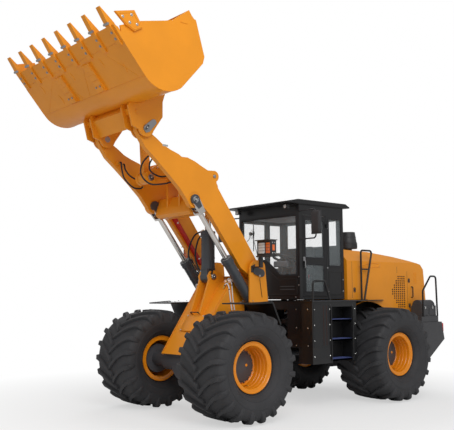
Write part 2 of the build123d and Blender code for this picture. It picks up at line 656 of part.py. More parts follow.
# ---------------------------------------------------------------- rear frame
rail_out = 400
rail_in = rail_out - frame_plate
neck_out = 200
neck_end_y = 830
rail_side = [
    (neck_end_y - 30, 640), (neck_end_y - 30, 1420), (1300, 1420), (1450, 1120), (2020, 1120), (2200, 1300),
    (3330, 1300), (3330, 760), (2300, 760), (2050, axle_z + 215), (1400, axle_z + 215), (1150, 640),
]
rear_hitch = [(-neck_out, 345), (neck_out, 345), (150, 40), (90, -70), (0, -95), (-90, -70), (-150, 40)]
inner_box_x = 500
with BuildPart() as rear_frame:
    for side in (1, -1):
        plate(rail_side, side * rail_in, side * rail_out)
        plate([(330, 630), (330, 1420), (neck_end_y, 1420), (neck_end_y, 630)], side * (neck_out - frame_plate), side * neck_out)
        for z in (steer_z - 40 - run_gap - 25, steer_z + 40 + run_gap):
            slab([(side * 290, neck_end_y - 30), (side * rail_out, neck_end_y - 30), (side * rail_out, 670), (side * 320, 670)], z, z + 25)
        post(side * steer_base[0], steer_base[1], 30, steer_z - 80, steer_z + 80)
        # cab mounts and the outriggers of the side boxes
        for y in (90, 980):
            block(side * 170, side * 490, y, y + 60, 1360, 1420)
            block(side * 430, side * 490, y, y + 60, 1420, cab_floor_z)
        block(side * neck_out, side * inner_box_x, 500, 540, 1200, 1260)
        block(side * rail_out, side * inner_box_x, 840, 870, 1200, 1260)
    block(-neck_out, neck_out, 60, 345, 1360, 1420)
    block(-neck_out, neck_out, 330, 360, 630, 1420)
    block(-rail_out, rail_out, neck_end_y - 30, neck_end_y, 640, 1420)
    block(-rail_in, rail_in, 1250, 1280, 1040, 1400)
    block(-rail_in, rail_in, 2250, 2280, 800, 1280)
    block(-rail_in, rail_in, 3300, 3330, 760, 1300)
    for z in hitch_rear_z:
        slab(rear_hitch, z, z + hitch_plate)
    post(0, 0, hitch_pin_radius, hitch_rear_z[0] - 20, hitch_rear_z[1] + hitch_plate + 20)
finish(rear_frame, "rear_frame")

with BuildPart() as engine_block:
    block(-330, 330, 1500, 2750, 1330, 2250)
    for side in (1, -1):
        for y in (1560, 2690):
            block(side * 300, side * rail_in - side * face_gap, y - 60, y + 60, 1340, 1500)
    for y in (2300, 2690):
        block(-rail_out + 5, rail_out - 5, y - 60, y + 60, 1300, 1340)
finish(engine_block, "engine_block")

counterweight_half = 1150
weight_outline = [(2700, 1310), (3520, 1310), (3600, 980), (3010, 590), (2700, 640)]
with BuildPart() as counterweight:
    plate(weight_outline, -counterweight_half, counterweight_half)
    block(-rail_out, rail_out, 2600, 3330, 500, 1320, Mode.SUBTRACT)
finish(counterweight, "counterweight")

with BuildPart() as battery_boxes:
    for side in (1, -1):
        block(side * 850, side * 1130, 2900, 3440, 1310, 1420)
        block(side * 870, side * 1110, 2940, 3400, 1420, 1620)
        with BuildSketch(Plane.XZ.offset(-2960)) as dome:
            with Locations((side * 990, 1620)):
                Circle(110)
        extrude(dome.sketch, amount=-420)
finish(battery_boxes, "battery_boxes")

tow_pin_radius = 26
tow_y = 3660
with BuildPart() as tow_hitch:
    plate([(3559.1, 1150), (3579, 1150), (3619, 985), (3599.1, 985)], -100, 100)
    for z, root in ((1000, 3600), (1090, 3580)):
        plate([(root, z + 25), (tow_y, z + 25), (tow_y, z), (root, z)], -60, 60)
        post(0, tow_y, 55, z, z + 25)
    post(0, tow_y, tow_pin_radius, 999, 1116, Mode.SUBTRACT)
finish(tow_hitch, "tow_hitch")

tail_lamp_x = counterweight_half - 130
with BuildPart() as tail_lamps:
    for side in (1, -1):
        lamp = [(3525.3, 1290), (3545, 1290), (3584, 1130), (3564.2, 1130)]
        plate(lamp, side * tail_lamp_x, side * (counterweight_half - 5))
finish(tail_lamps, "tail_lamps")

# ---------------------------------------------------------------- hood
hood_crown = [(hood_front_y, 2655), (1960, 2625), (2630, 2550), (3070, 2480), (3380, 2415), (hood_rear_y, 2320)]
hood_end_y = 3560


def hood_body(inset, lower, mode):
    """The hood's outer form moved inwards by a wall, with chamfered shoulders along the crown."""
    crown = [(y, z - inset) for y, z in hood_crown[:-1]]
    front = [(hood_front_y + inset, lower), (hood_front_y + inset, crown[0][1])]
    back = [(hood_rear_y - inset, 2320 - inset), (hood_end_y - inset, lower)]
    plate([*front, *crown[1:], *back], -hood_half_width + inset, hood_half_width - inset, mode)


def hood_shell(inset, lower):
    """One closed form of the hood: its side outline across the width, with sloped shoulders."""
    hood_body(inset, lower, Mode.ADD)
    edge = hood_half_width - inset
    for side in (1, -1):
        sloped = [(side * (560 - 0.3 * inset), 2700), (side * 900, 2700), (side * 900, 2500 - inset), (side * edge, 2440 - inset)]
        cross_plate(sloped, hood_front_y - 10, hood_end_y + 200, Mode.SUBTRACT)


vent_rows = 15
vent_least = 4
vent_pitch_y = 61
vent_pitch_z = 41
vent_rear_y = 2870
vent_base_z = 1580
vent_depth = hood_wall - 3
with BuildPart() as hood_hollow:
    hood_shell(hood_wall, hood_base_z - 180)

with BuildPart() as hood:
    hood_shell(0, hood_base_z - 170)
    add(hood_hollow.part, mode=Mode.SUBTRACT)
    for side in (1, -1):
        disc((rear_axle_y, axle_z), tyre_radius + 95, side * 500, side * (hood_half_width + 10), Mode.SUBTRACT)
        block(side * 300, side * (hood_half_width + 10), hood_front_y - 10, rear_axle_y, 1200, platform_z + 8, Mode.SUBTRACT)
    block(-hood_half_width - 10, hood_half_width + 10, hood_front_y - 10, 1500, 1200, platform_z + 8, Mode.SUBTRACT)
    block(-rail_out, rail_out, hood_end_y - 200, hood_end_y + 10, 1300, 1311, Mode.SUBTRACT)
    # vents in both sides, a stepped field that is longest in its middle rows
    with BuildSketch(Plane.YZ.offset(-hood_half_width - 1)) as vents:
        for row in range(vent_rows):
            for column in range(vent_least + min(row, vent_rows - 1 - row) // 2):
                with Locations((vent_rear_y - vent_pitch_y * (column + 0.5), vent_base_z + vent_pitch_z * (row + 0.5))):
                    Rectangle(0.7 * vent_pitch_y, 0.62 * vent_pitch_z)
    extrude(vents.sketch, amount=vent_depth + 1, mode=Mode.SUBTRACT)
    extrude(vents.sketch.moved(Location((2 * hood_half_width + 2, 0, 0))), amount=-vent_depth - 1, mode=Mode.SUBTRACT)
finish(hood, "hood")

with BuildPart() as rear_grille:
    block(-520, 520, hood_end_y - 10, hood_end_y + 12, 1450, 1700)
    for x in range(-500, 501, 50):
        block(x - 8, x + 8, hood_end_y + 12, hood_end_y + 20, 1470, 1680)
finish(rear_grille, "rear_grille")

intake = (350, 1750)
exhaust = (-180, 2207)
with BuildPart() as intake_exhaust:
    post(*intake, 70, 2636.4, 2690)
    post(*intake, 165, 2690, 2800)
    with BuildSketch(Plane.XY.offset(2800)):
        with Locations(intake):
            Circle(160)
    with BuildSketch(Plane.XY.offset(3000)):
        with Locations(intake):
            Circle(130)
    loft()
    post(*exhaust, 55, 2603.9, 2900)
finish(intake_exhaust, "intake_exhaust")

# ---------------------------------------------------------------- side boxes, steps and platforms
box_front_y = -210
box_rear_y = 880
inner_wall_y = -50
outer_box_x = 985
step_x = 760
recess = (260, 760)
with BuildPart() as side_steps:
    for side in (1, -1):
        upper = [(inner_box_x, inner_wall_y), (outer_box_x, inner_wall_y), (outer_box_x, box_front_y), (step_outer_x, box_front_y), (step_outer_x, box_rear_y), (inner_box_x, box_rear_y)]
        slab([(side * x, y) for x, y in upper], 960, platform_z - 12)
        lower = [(step_x, inner_wall_y), (outer_box_x, inner_wall_y), (outer_box_x, box_front_y), (step_outer_x, box_front_y), (step_outer_x, box_rear_y), (step_x, box_rear_y)]
        slab([(side * x, y) for x, y in lower], 730, 960)
        block(side * (step_outer_x - 220), side * (step_outer_x + 1), *recess, 729, 1640, Mode.SUBTRACT)
        for z in (760, 1080, 1400):
            block(side * (step_outer_x - 220), side * step_outer_x, *recess, z, z + 30)
        # platform deck, then the guard over the rear tyre
        deck = [(inner_box_x, inner_wall_y - 10), (outer_box_x, inner_wall_y - 10), (outer_box_x, box_front_y - 15), (step_outer_x + 20, box_front_y - 20), (step_outer_x + 20, 920), (hood_half_width + 20, 2160), (hood_half_width + face_gap, 2160), (hood_half_width + face_gap, cab_rear_y), (inner_box_x, cab_rear_y)]
        slab([(side * x, y) for x, y in deck], platform_z - 12, platform_z)
finish(side_steps, "side_steps")

# ---------------------------------------------------------------- cab
cab_in_x = cab_half_width - cab_wall
cab_in_front = cab_front_y + cab_wall
cab_in_rear = cab_rear_y - cab_wall
door_front_y = 80
door_rear_y = 668
hinge = (cab_half_width + 15, 680)
sill_z = 1800
head_z = 3190
door_wall = 42
quarter = (735, 1070, 2330, 3170)
side_window = (80, 655, 2250, 3170)
rear_window = (-640, 640, 2700, 3170)
windscreen = [(-700, 2440), (-70, 2440), (300, 2170), (700, 2170), (700, 3190), (-700, 3190)]


with BuildPart() as cab_frame:
    block(-cab_half_width, cab_half_width, cab_front_y, cab_rear_y, cab_floor_z, cab_top_z)
    block(-cab_in_x, cab_in_x, cab_in_front, cab_in_rear, cab_floor_z + 30, cab_top_z + 1, Mode.SUBTRACT)
    cross_plate(windscreen, cab_front_y - 1, cab_in_front + 1, Mode.SUBTRACT)
    block(rear_window[0], rear_window[1], cab_in_rear - 1, cab_rear_y + 1, rear_window[2], rear_window[3], Mode.SUBTRACT)
    for side in (1, -1):
        block(side * (cab_in_x - 1), side * (cab_half_width + 1), *quarter, Mode.SUBTRACT)
    block(-cab_half_width - 1, -cab_in_x + 1, *side_window, Mode.SUBTRACT)
    block(cab_in_x - 1, cab_half_width + 1, door_front_y - 6, door_rear_y + 6, sill_z, head_z + 6, Mode.SUBTRACT)
    # hinge knuckles with their pins
    for z in (1900, 3000):
        block(cab_half_width, hinge[0], hinge[1] - 4, hinge[1] + 40, z, z + 50)
        post(*hinge, 14, z, z + 50)
        post(*hinge, 7, z + 50, z + 110)
finish(cab_frame, "cab_frame")

with BuildPart() as cab_glass:
    cross_plate(windscreen, cab_front_y + 12, cab_front_y + 12 + glass_thickness)
    block(rear_window[0], rear_window[1], cab_rear_y - 20, cab_rear_y - 20 + glass_thickness, rear_window[2], rear_window[3])
    for side in (1, -1):
        glass_x = side * (cab_half_width - 14)
        block(glass_x, glass_x - side * glass_thickness, *quarter)
    block(-cab_half_width + 14, -cab_half_width + 14 + glass_thickness, *side_window)
finish(cab_glass, "cab_glass")

door_upper = (140, 610, 2460, 3120)
door_lower = (140, 610, 1880, 2360)
with BuildPart() as door:
    block(cab_half_width - door_wall, cab_half_width, door_front_y, door_rear_y, sill_z + 6, head_z)
    for pane in (door_upper, door_lower):
        block(cab_half_width - door_wall - 1, cab_half_width + 1, *pane, Mode.SUBTRACT)
    for z in (1956, 3056):
        block(cab_half_width, hinge[0], hinge[1] - 60, hinge[1], z, z + 50)
        post(*hinge, 14, z, z + 50)
        post(*hinge, 7 + pin_gap, z - 1, z + 51, Mode.SUBTRACT)
    # handle
    block(cab_half_width, cab_half_width + 30, 100, 120, 2380, 2400)
    block(cab_half_width + 18, cab_half_width + 30, 100, 120, 2300, 2400)
finish(door, "door_left")

with BuildPart() as door_glass:
    for pane in (door_upper, door_lower):
        block(cab_half_width - 22, cab_half_width - 22 + glass_thickness, *pane)
finish(door_glass, "door_left_glass")

roof_overhang = 25
with BuildPart() as cab_roof:
    block(-cab_half_width, cab_half_width, cab_front_y, cab_rear_y, cab_top_z, cab_top_z + 90)
    visor = [(-300, 3380), (-300, 3400), (-40, roof_top_z), (1180, roof_top_z), (1290, 3400), (1290, 3380), (1130, 3370), (0, 3370)]
    plate(visor, -cab_half_width - roof_overhang, cab_half_width + roof_overhang)
finish(cab_roof, "cab_roof")

with BuildPart() as work_lamps:
    for side in (1, -1):
        for y, top in ((-150, 3374.4), (1200, 3373.4)):
            block(side * 560, side * 660, y - 30, y + 30, 3290, 3365)
            block(side * 600, side * 620, y - 10, y + 10, 3365, top)
finish(work_lamps, "work_lamps")

with BuildPart() as seat:
    block(-60, 60, 560, 700, cab_floor_z + 30, 2000)
    block(-180, 180, 480, 800, 2000, 2040)
    block(-240, 240, 420, 880, 2040, 2140)
    plate([(800, 2140), (880, 2100), (985, 2720), (905, 2740)], -230, 230)
    for side in (1, -1):
        block(side * 250, side * 310, 520, 860, 2300, 2340)
        block(side * 240, side * 260, 780, 860, 2100, 2340)
finish(seat, "seat")

with BuildPart() as steering_column:
    plate([(180, cab_floor_z + 30), (300, cab_floor_z + 30), (380, 2360), (320, 2380)], -60, 60)
    bar((0, 340, 2360), (0, 385, 2480), 22)
    wheel_plane = Plane(origin=(0, 385, 2480), z_dir=(0, 0.35, 0.94))
    with BuildSketch(wheel_plane) as ring:
        Circle(210)
        Circle(180, mode=Mode.SUBTRACT)
        Rectangle(380, 26)
        Circle(40)
    extrude(ring.sketch, amount=26)
    block(-cab_in_x, -460, 300, 900, cab_floor_z + 30, 2250)
finish(steering_column, "steering_column")

# ---------------------------------------------------------------- rails and mirrors
rail_radius = 17
def side_tube(points, x, bend):
    """A bent tube in an upright plane along the machine."""
    tube([(x, y, z) for y, z in points], rail_radius, bend)


with BuildPart() as handrails:
    for side in (1, -1):
        side_tube([(-190, platform_z), (-190, 2060), (100, 2060), (225, platform_z + 6.4)], side * 1222, 60)
        side_tube([(1485, platform_z), (1485, 2630), (1800, 2630), (1560, platform_z + 4.7)], side * 860, 50)
        side_tube([(2960, 1420), (2960, 1900), (3220, 2180), (3400, 2180), (3420, 1420.7)], side * 1128, 60)
finish(handrails, "handrails")

with BuildPart() as mirrors:
    for side in (1, -1):
        foot_x = side * (cab_half_width + 2)
        arm_end = side * 1160
        tube([(foot_x, 20, 3250), (arm_end, -20, 3250), (arm_end, -20, 2770), (foot_x, 20, 2770)], 12, 60)
        block(side * 1085, side * 1295, -50, -32.5, 2830, 3220)
finish(mirrors, "mirrors")
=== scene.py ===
"""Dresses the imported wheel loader: tyres, paint, cab, hoses, lamps and the studio round it.

Metres. +Z is up, -Y is the travel direction, +X is the machine's left side.
Each piece is a surface worked out with numpy and rides on the body that carries it.
"""

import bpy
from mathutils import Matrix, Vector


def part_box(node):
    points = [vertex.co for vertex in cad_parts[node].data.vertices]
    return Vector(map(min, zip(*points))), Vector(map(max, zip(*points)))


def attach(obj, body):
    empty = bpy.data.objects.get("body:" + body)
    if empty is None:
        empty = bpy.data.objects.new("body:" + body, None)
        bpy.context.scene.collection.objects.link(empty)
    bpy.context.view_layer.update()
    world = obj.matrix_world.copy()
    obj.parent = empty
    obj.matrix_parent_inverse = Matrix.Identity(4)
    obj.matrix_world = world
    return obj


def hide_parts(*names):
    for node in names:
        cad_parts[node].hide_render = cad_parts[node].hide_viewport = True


bl_info = {
    "name": "Wheel Loader Dressing",
    "version": (1, 0, 0),
    "blender": (4, 5, 0),
    "location": "View3D > Sidebar > Loader",
    "description": "Builds the detailed pieces and finishes of an articulated wheel loader",
    "category": "Object",
}

import math

import bpy
import numpy as np
from bpy.props import FloatProperty, FloatVectorProperty, IntProperty, PointerProperty
from mathutils import Matrix

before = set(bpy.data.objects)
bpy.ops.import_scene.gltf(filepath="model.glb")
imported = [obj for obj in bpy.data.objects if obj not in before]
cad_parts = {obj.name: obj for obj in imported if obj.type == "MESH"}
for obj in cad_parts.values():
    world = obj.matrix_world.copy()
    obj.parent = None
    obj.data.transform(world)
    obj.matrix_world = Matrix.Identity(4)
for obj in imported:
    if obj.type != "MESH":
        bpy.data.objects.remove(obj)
SIDES = (("left", 1), ("right", -1))
WHEELS = ("front_left", "front_right", "rear_left", "rear_right")
LEFT, UP, AHEAD = (1, 0, 0), (0, 0, 1), (0, -1, 0)
REAR, FRONT = "rear_frame", "front_frame"
AXLE_HEIGHT = 0.805
AXLE_REACH = 1.735  # from the waist to either axle
CAB_SIDE = 0.7602  # the cab's side face and the deck's top, each with a hair of air
DECK_TOP = 1.7402


def unit(vector):
    """A vector, or rows of vectors, divided by their length."""
    vector = np.asarray(vector, float)
    return vector / np.maximum(np.linalg.norm(vector, axis=-1, keepdims=True), 1e-9)


def triad(direction):
    """Two unit vectors square to a direction and to each other."""
    d = unit(direction)
    seed = np.array([0.0, 0.0, 1.0]) if abs(d[2]) < 0.9 else np.array([1.0, 0.0, 0.0])
    side = unit(np.cross(seed, d))
    return side, np.cross(d, side)


def quads(rows, columns, loop_rows=False, loop_columns=False):
    """The four-cornered faces of a grid of points, row by row, joined round where it loops."""
    r = np.arange(rows if loop_rows else rows - 1)
    c = np.arange(columns if loop_columns else columns - 1)
    i, j = np.meshgrid(r, c, indexing="ij")
    i2, j2 = (i + 1) % rows, (j + 1) % columns
    return np.stack([i * columns + j, i * columns + j2, i2 * columns + j2, i2 * columns + j], -1).reshape(-1,
        4)


def volume(points, blocks):
    """Six times the volume that the faces enclose: the sum of corner triple products, face by face."""
    total = 0.0
    for block in blocks:
        for k in range(1, block.shape[1] - 1):
            a, b, c = points[block[:, 0]], points[block[:, k]], points[block[:, k + 1]]
            total += np.einsum("ij,ij->", a, np.cross(b, c))
    return total


def outward(points, blocks):
    """The same closed surface with its faces turned to face out."""
    middle = points.mean(0)
    if volume(points - middle, blocks) < 0:
        blocks = [block[:, ::-1] for block in blocks]
    return points, blocks


def grid(points, loop_rows=False, loop_columns=False, caps=True):
    """A closed surface from a grid of points (rows, columns, 3); open row ends are capped."""
    rows, columns = points.shape[:2]
    blocks = [quads(rows, columns, loop_rows, loop_columns)]
    if caps and not loop_rows:
        first = np.arange(columns)[None, ::-1]
        last = (rows - 1) * columns + np.arange(columns)[None, :]
        blocks += [first, last]
    return outward(points.reshape(-1, 3), blocks)


def merged(*surfaces):
    """Several closed surfaces as one set of points and faces."""
    points, blocks, start = [], [], 0
    for pts, faces in surfaces:
        points.append(pts)
        blocks += [f + start for f in faces]
        start += len(pts)
    return np.concatenate(points), blocks


def copies(surface, moves):
    """The surface repeated, once for each row of a table of shifts."""
    return merged(*[(surface[0] + np.asarray(move, float), surface[1]) for move in moves])


def mirrored(surface):
    """The surface on the other side of the machine's middle plane."""
    return outward(surface[0] * np.array([-1.0, 1.0, 1.0]), surface[1])


def both(surface):
    """The surface, or the surfaces of a list, and their mirror images."""
    if isinstance(surface, list):
        surface = merged(*surface)
    return merged(surface, mirrored(surface))


def turned(profile, start, direction=LEFT, steps=48, loop=False):
    """A turned form: each (distance along, radius) pair of the profile swept round the axis."""
    profile = np.asarray(profile, float)
    axis = unit(direction)
    side, up = triad(axis)
    angle = np.linspace(0, 2 * math.pi, steps, endpoint=False)
    ring = np.cos(angle)[:, None] * side + np.sin(angle)[:, None] * up
    points = np.asarray(start, float) + profile[:, 0, None, None] * axis + profile[:, 1, None,
        None] * ring[None]
    return grid(points, loop_rows=loop, loop_columns=True, caps=not loop)


def prism(outline, low, high, axis="x"):
    """A flat outline of two coordinates carried along the third axis from low to high."""
    outline = np.asarray(outline, float)
    order = {"x": [2, 0, 1], "y": [0, 2, 1], "z": [0, 1, 2]}[axis]
    flat = np.column_stack([outline, np.zeros(len(outline))])
    points = np.stack([flat, flat])
    points[0, :, 2], points[1, :, 2] = low, high
    return grid(points[:, :, order], loop_columns=True)


def block(low, high):
    """A box between two corners, to be rounded by its bevel."""
    (x0, y0, z0), (x1, y1, z1) = low, high
    return prism([(x0, y0), (x1, y0), (x1, y1), (x0, y1)], z0, z1, "z")


def rounded(points, radius, steps=6):
    """A path through points whose corners are round: each corner is a quadratic arc between its two runs."""
    points = np.asarray(points, float)
    t = np.linspace(0, 1, steps)[:, None]
    path = [points[:1]]
    for before, corner, after in zip(points[:-2], points[1:-1], points[2:]):
        a, b = before - corner, after - corner
        reach = min(radius, 0.48 * np.linalg.norm(a), 0.48 * np.linalg.norm(b))
        p, q = corner + unit(a) * reach, corner + unit(b) * reach
        path.append((1 - t) ** 2 * p + 2 * t * (1 - t) * corner + t ** 2 * q)
    return np.concatenate(path + [points[-1:]])


def flowing(points, steps=10):
    """A smooth path through points: a Catmull-Rom cubic over each run, worked out for all runs at once."""
    p = np.asarray(points, float)
    p = np.concatenate([2 * p[:1] - p[1:2], p, 2 * p[-1:] - p[-2:-1]])
    a, b, c, d = p[:-3, None], p[1:-2, None], p[2:-1, None], p[3:, None]
    t = np.linspace(0, 1, steps, endpoint=False)[None, :, None]
    curve = 0.5 * (2 * b + (c - a) * t + (2 * a - 5 * b + 4 * c - d) * t ** 2
        + (3 * b - a - 3 * c + d) * t ** 3)
    return np.concatenate([curve.reshape(-1, 3), p[-2:-1]])


def tube(path, radius, sides=14):
    """A round tube along a path: a ring square to the path at each point, turned as little as possible."""
    path = np.asarray(path, float)
    keep = np.concatenate([[True], np.linalg.norm(np.diff(path, axis=0), axis=1) > 1e-6])
    path = path[keep]
    along = unit(np.gradient(path, axis=0))
    side = np.empty_like(path)
    side[0] = triad(along[0])[0]
    for k in range(1, len(path)):
        side[k] = unit(side[k - 1] - along[k] * (side[k - 1] @ along[k]))
    up = np.cross(along, side)
    angle = np.linspace(0, 2 * math.pi, sides, endpoint=False)
    radius = np.broadcast_to(np.asarray(radius, float), (len(path),))[:, None, None]
    ring = np.cos(angle)[None, :, None] * side[:, None] + np.sin(angle)[None, :, None] * up[:, None]
    return grid(path[:, None] + radius * ring, loop_columns=True)


def bolt_heads(places, direction, size=0.016, height=0.012):
    """Hexagon heads on washers: a six-sided profile raised along the direction at each place."""
    side, up = triad(direction)
    axis = unit(direction)
    angle = np.arange(6) * math.pi / 3
    ring = np.cos(angle)[:, None] * side + np.sin(angle)[:, None] * up
    profile = np.array([(-0.2, 1.45), (0.15, 1.45), (0.15, 1.0), (0.85, 1.0), (1.0, 0.82)])
    points = profile[:, 0, None, None] * axis * height + profile[:, 1, None, None] * ring[None] * size
    return copies(grid(points, loop_columns=True), places)


def circle_of(centre, radius, count, first=0.0, axis="x"):
    """Points evenly round a circle square to the axis."""
    a = first + np.arange(count) * 2 * math.pi / count
    flat = np.zeros((count, 3))
    i, j = {"x": (1, 2), "y": (0, 2), "z": (0, 1)}[axis]
    flat[:, i], flat[:, j] = np.cos(a) * radius, np.sin(a) * radius
    return flat + np.asarray(centre, float)


def put(name, surface, finish, body, bevel=0.0, angle=35, segments=2):
    """Makes the mesh of a surface, or a list of them, with its named finish, and lets it ride on its body."""
    points, blocks = merged(*surface) if isinstance(surface, list) else surface
    mesh = bpy.data.meshes.new(name)
    mesh.from_pydata(points.tolist(), [], [face for part in blocks for face in part.tolist()])
    mesh.update()
    mesh.shade_smooth()
    mesh.set_sharp_from_angle(angle=math.radians(angle))
    mesh.materials.append(FINISH[finish])
    piece = bpy.data.objects.new(name, mesh)
    bpy.context.scene.collection.objects.link(piece)
    if bevel:
        rounding = piece.modifiers.new("edge rounding", "BEVEL")
        rounding.width = bevel
        rounding.segments = segments
        rounding.limit_method = "ANGLE"
        rounding.angle_limit = math.radians(38)
    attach(piece, body)
    return piece


def centre_of(node):
    """The middle of a CAD node's box."""
    low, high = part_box(node)
    return np.array((low + high) / 2)


# ---------------------------------------------------------------- finishes
def new_material(name, slot):
    """An empty node material that ends in one Principled shader, and its object coordinates."""
    material = bpy.data.materials.new(name)
    material["slot"] = slot
    material.use_nodes = True
    tree = material.node_tree
    tree.nodes.clear()
    out = tree.nodes.new("ShaderNodeOutputMaterial")
    shader = tree.nodes.new("ShaderNodeBsdfPrincipled")
    tree.links.new(shader.outputs["BSDF"], out.inputs["Surface"])
    place = tree.nodes.new("ShaderNodeTexCoord").outputs["Object"]
    return material, tree, shader, place


def noise(tree, place, scale, detail=4.0, roughness=0.55):
    """A noise value over object coordinates."""
    node = tree.nodes.new("ShaderNodeTexNoise")
    node.inputs["Scale"].default_value = scale
    node.inputs["Detail"].default_value = detail
    node.inputs["Roughness"].default_value = roughness
    tree.links.new(place, node.inputs["Vector"])
    return node.outputs["Fac"]


def stretched(tree, place, scale):
    """Object coordinates scaled unevenly, for grain that runs one way."""
    node = tree.nodes.new("ShaderNodeMapping")
    node.inputs["Scale"].default_value = scale
    tree.links.new(place, node.inputs["Vector"])
    return node.outputs["Vector"]


def ranged(tree, value, low, high, out_low, out_high):
    """A value moved from one range to another and kept inside it."""
    node = tree.nodes.new("ShaderNodeMapRange")
    for key, number in (("From Min", low), ("From Max", high), ("To Min", out_low), ("To Max", out_high)):
        node.inputs[key].default_value = number
    tree.links.new(value, node.inputs["Value"])
    return node.outputs["Result"]


def mixed(tree, factor, colour_a, colour_b):
    """Two colours mixed by a factor; each is a colour or another node's output."""
    node = tree.nodes.new("ShaderNodeMix")
    node.data_type = "RGBA"
    tree.links.new(factor, node.inputs["Factor"])
    for key, colour in (("A", colour_a), ("B", colour_b)):
        socket = [s for s in node.inputs if s.name == key and s.type == "RGBA"][0]
        if isinstance(colour, bpy.types.NodeSocket):
            tree.links.new(colour, socket)
        else:
            socket.default_value = (*colour, 1.0)
    return [s for s in node.outputs if s.type == "RGBA"][0]


def relief(tree, shader, height, strength, distance, edge=0.0):
    """Surface relief from a height value, over edges softened by a small radius."""
    bump = tree.nodes.new("ShaderNodeBump")
    bump.inputs["Strength"].default_value = strength
    bump.inputs["Distance"].default_value = distance
    tree.links.new(height, bump.inputs["Height"])
    if edge:
        soft = tree.nodes.new("ShaderNodeBevel")
        soft.samples = 4
        soft.inputs["Radius"].default_value = edge
        tree.links.new(soft.outputs["Normal"], bump.inputs["Normal"])
    tree.links.new(bump.outputs["Normal"], shader.inputs["Normal"])


def shade(colour, factor):
    """A colour made lighter or darker."""
    return tuple(min(1.0, c * factor) for c in colour)


def sprayed_paint(name, slot, colour, gloss=0.4, coat=0.14, edge=0.004):
    """Machine paint: faint cloudiness in colour and gloss, orange peel, and softened plate edges."""
    material, tree, shader, place = new_material(name, slot)
    cloud = ranged(tree, noise(tree, place, 1.3), 0.35, 0.65, 0.0, 1.0)
    base = mixed(tree, cloud, shade(colour, 0.95), shade(colour, 1.04))
    dust = ranged(tree, noise(tree, place, 46.0, 6.0), 0.66, 0.78, 0.0, 0.16)
    tree.links.new(mixed(tree, dust, base, shade(colour, 0.6)), shader.inputs["Base Color"])
    tree.links.new(ranged(tree, noise(tree, place, 9.0), 0.3, 0.7, gloss - 0.05, gloss + 0.07),
        shader.inputs["Roughness"])
    shader.inputs["Specular IOR Level"].default_value = 0.32
    shader.inputs["Coat Weight"].default_value = coat
    shader.inputs["Coat Roughness"].default_value = 0.12
    relief(tree, shader, noise(tree, place, 130.0, 2.0), 0.12, 0.0012, edge)
    return material


def rubber(name, slot, colour):
    """Tyre or hose rubber: matt, with grey bloom, scuffs and a fine pore grain."""
    material, tree, shader, place = new_material(name, slot)
    bloom = ranged(tree, noise(tree, place, 3.4, 6.0), 0.35, 0.7, 0.0, 1.0)
    base = mixed(tree, bloom, shade(colour, 0.82), shade(colour, 1.25))
    scuff = ranged(tree, noise(tree, stretched(tree, place, (5.0, 26.0, 26.0)), 2.4, 7.0), 0.58, 0.72, 0.0,
        0.35)
    tree.links.new(mixed(tree, scuff, base, shade(colour, 2.1)), shader.inputs["Base Color"])
    tree.links.new(ranged(tree, bloom, 0.0, 1.0, 0.62, 0.8), shader.inputs["Roughness"])
    shader.inputs["Specular IOR Level"].default_value = 0.42
    relief(tree, shader, noise(tree, place, 210.0, 3.0), 0.25, 0.0012)
    return material


def metal(name, slot, colour, gloss, grain=(1.0, 1.0, 90.0), strength=0.05):
    """Bare metal: its own colour, with polishing marks that run one way."""
    material, tree, shader, place = new_material(name, slot)
    marks = noise(tree, stretched(tree, place, grain), 14.0, 5.0)
    tree.links.new(mixed(tree, marks, shade(colour, 0.88), shade(colour, 1.06)), shader.inputs["Base Color"])
    tree.links.new(ranged(tree, marks, 0.3, 0.7, gloss * 0.8, gloss * 1.25), shader.inputs["Roughness"])
    shader.inputs["Metallic"].default_value = 1.0
    relief(tree, shader, marks, strength, 0.0006)
    return material


def plastic(name, slot, colour, gloss=0.5, grain=420.0, edge=0.0):
    """Moulded plastic: a fine leather grain and slight unevenness in gloss."""
    material, tree, shader, place = new_material(name, slot)
    patch = noise(tree, place, 5.0)
    tree.links.new(mixed(tree, patch, shade(colour, 0.85), shade(colour, 1.15)), shader.inputs["Base Color"])
    tree.links.new(ranged(tree, patch, 0.3, 0.7, gloss - 0.06, gloss + 0.08), shader.inputs["Roughness"])
    relief(tree, shader, noise(tree, place, grain, 2.0), 0.12, 0.0008, edge)
    return material


def pane(name, slot, colour, body_share):
    """Window glass: mostly clear, with a faint film of dust that takes up some light."""
    material, tree, shader, place = new_material(name, slot)
    film = noise(tree, place, 2.2, 3.0)
    tree.links.new(mixed(tree, film, shade(colour, 0.96), colour), shader.inputs["Base Color"])
    tree.links.new(ranged(tree, film, 0.3, 0.7, 0.02, 0.06), shader.inputs["Roughness"])
    shader.inputs["Alpha"].default_value = body_share
    shader.inputs["Specular IOR Level"].default_value = 0.9
    return material


def lens(name, slot, colour):
    """Moulded lamp lens: clear coloured plastic over fine upright flutes."""
    material, tree, shader, place = new_material(name, slot)
    flute = tree.nodes.new("ShaderNodeTexWave")
    flute.bands_direction = "Z"
    flute.inputs["Scale"].default_value = 46.0
    tree.links.new(place, flute.inputs["Vector"])
    tint = mixed(tree, flute.outputs["Fac"], shade(colour, 0.72), colour)
    tree.links.new(tint, shader.inputs["Base Color"])
    shader.inputs["Roughness"].default_value = 0.08
    shader.inputs["Coat Weight"].default_value = 0.8
    relief(tree, shader, flute.outputs["Fac"], 0.3, 0.001)
    return material


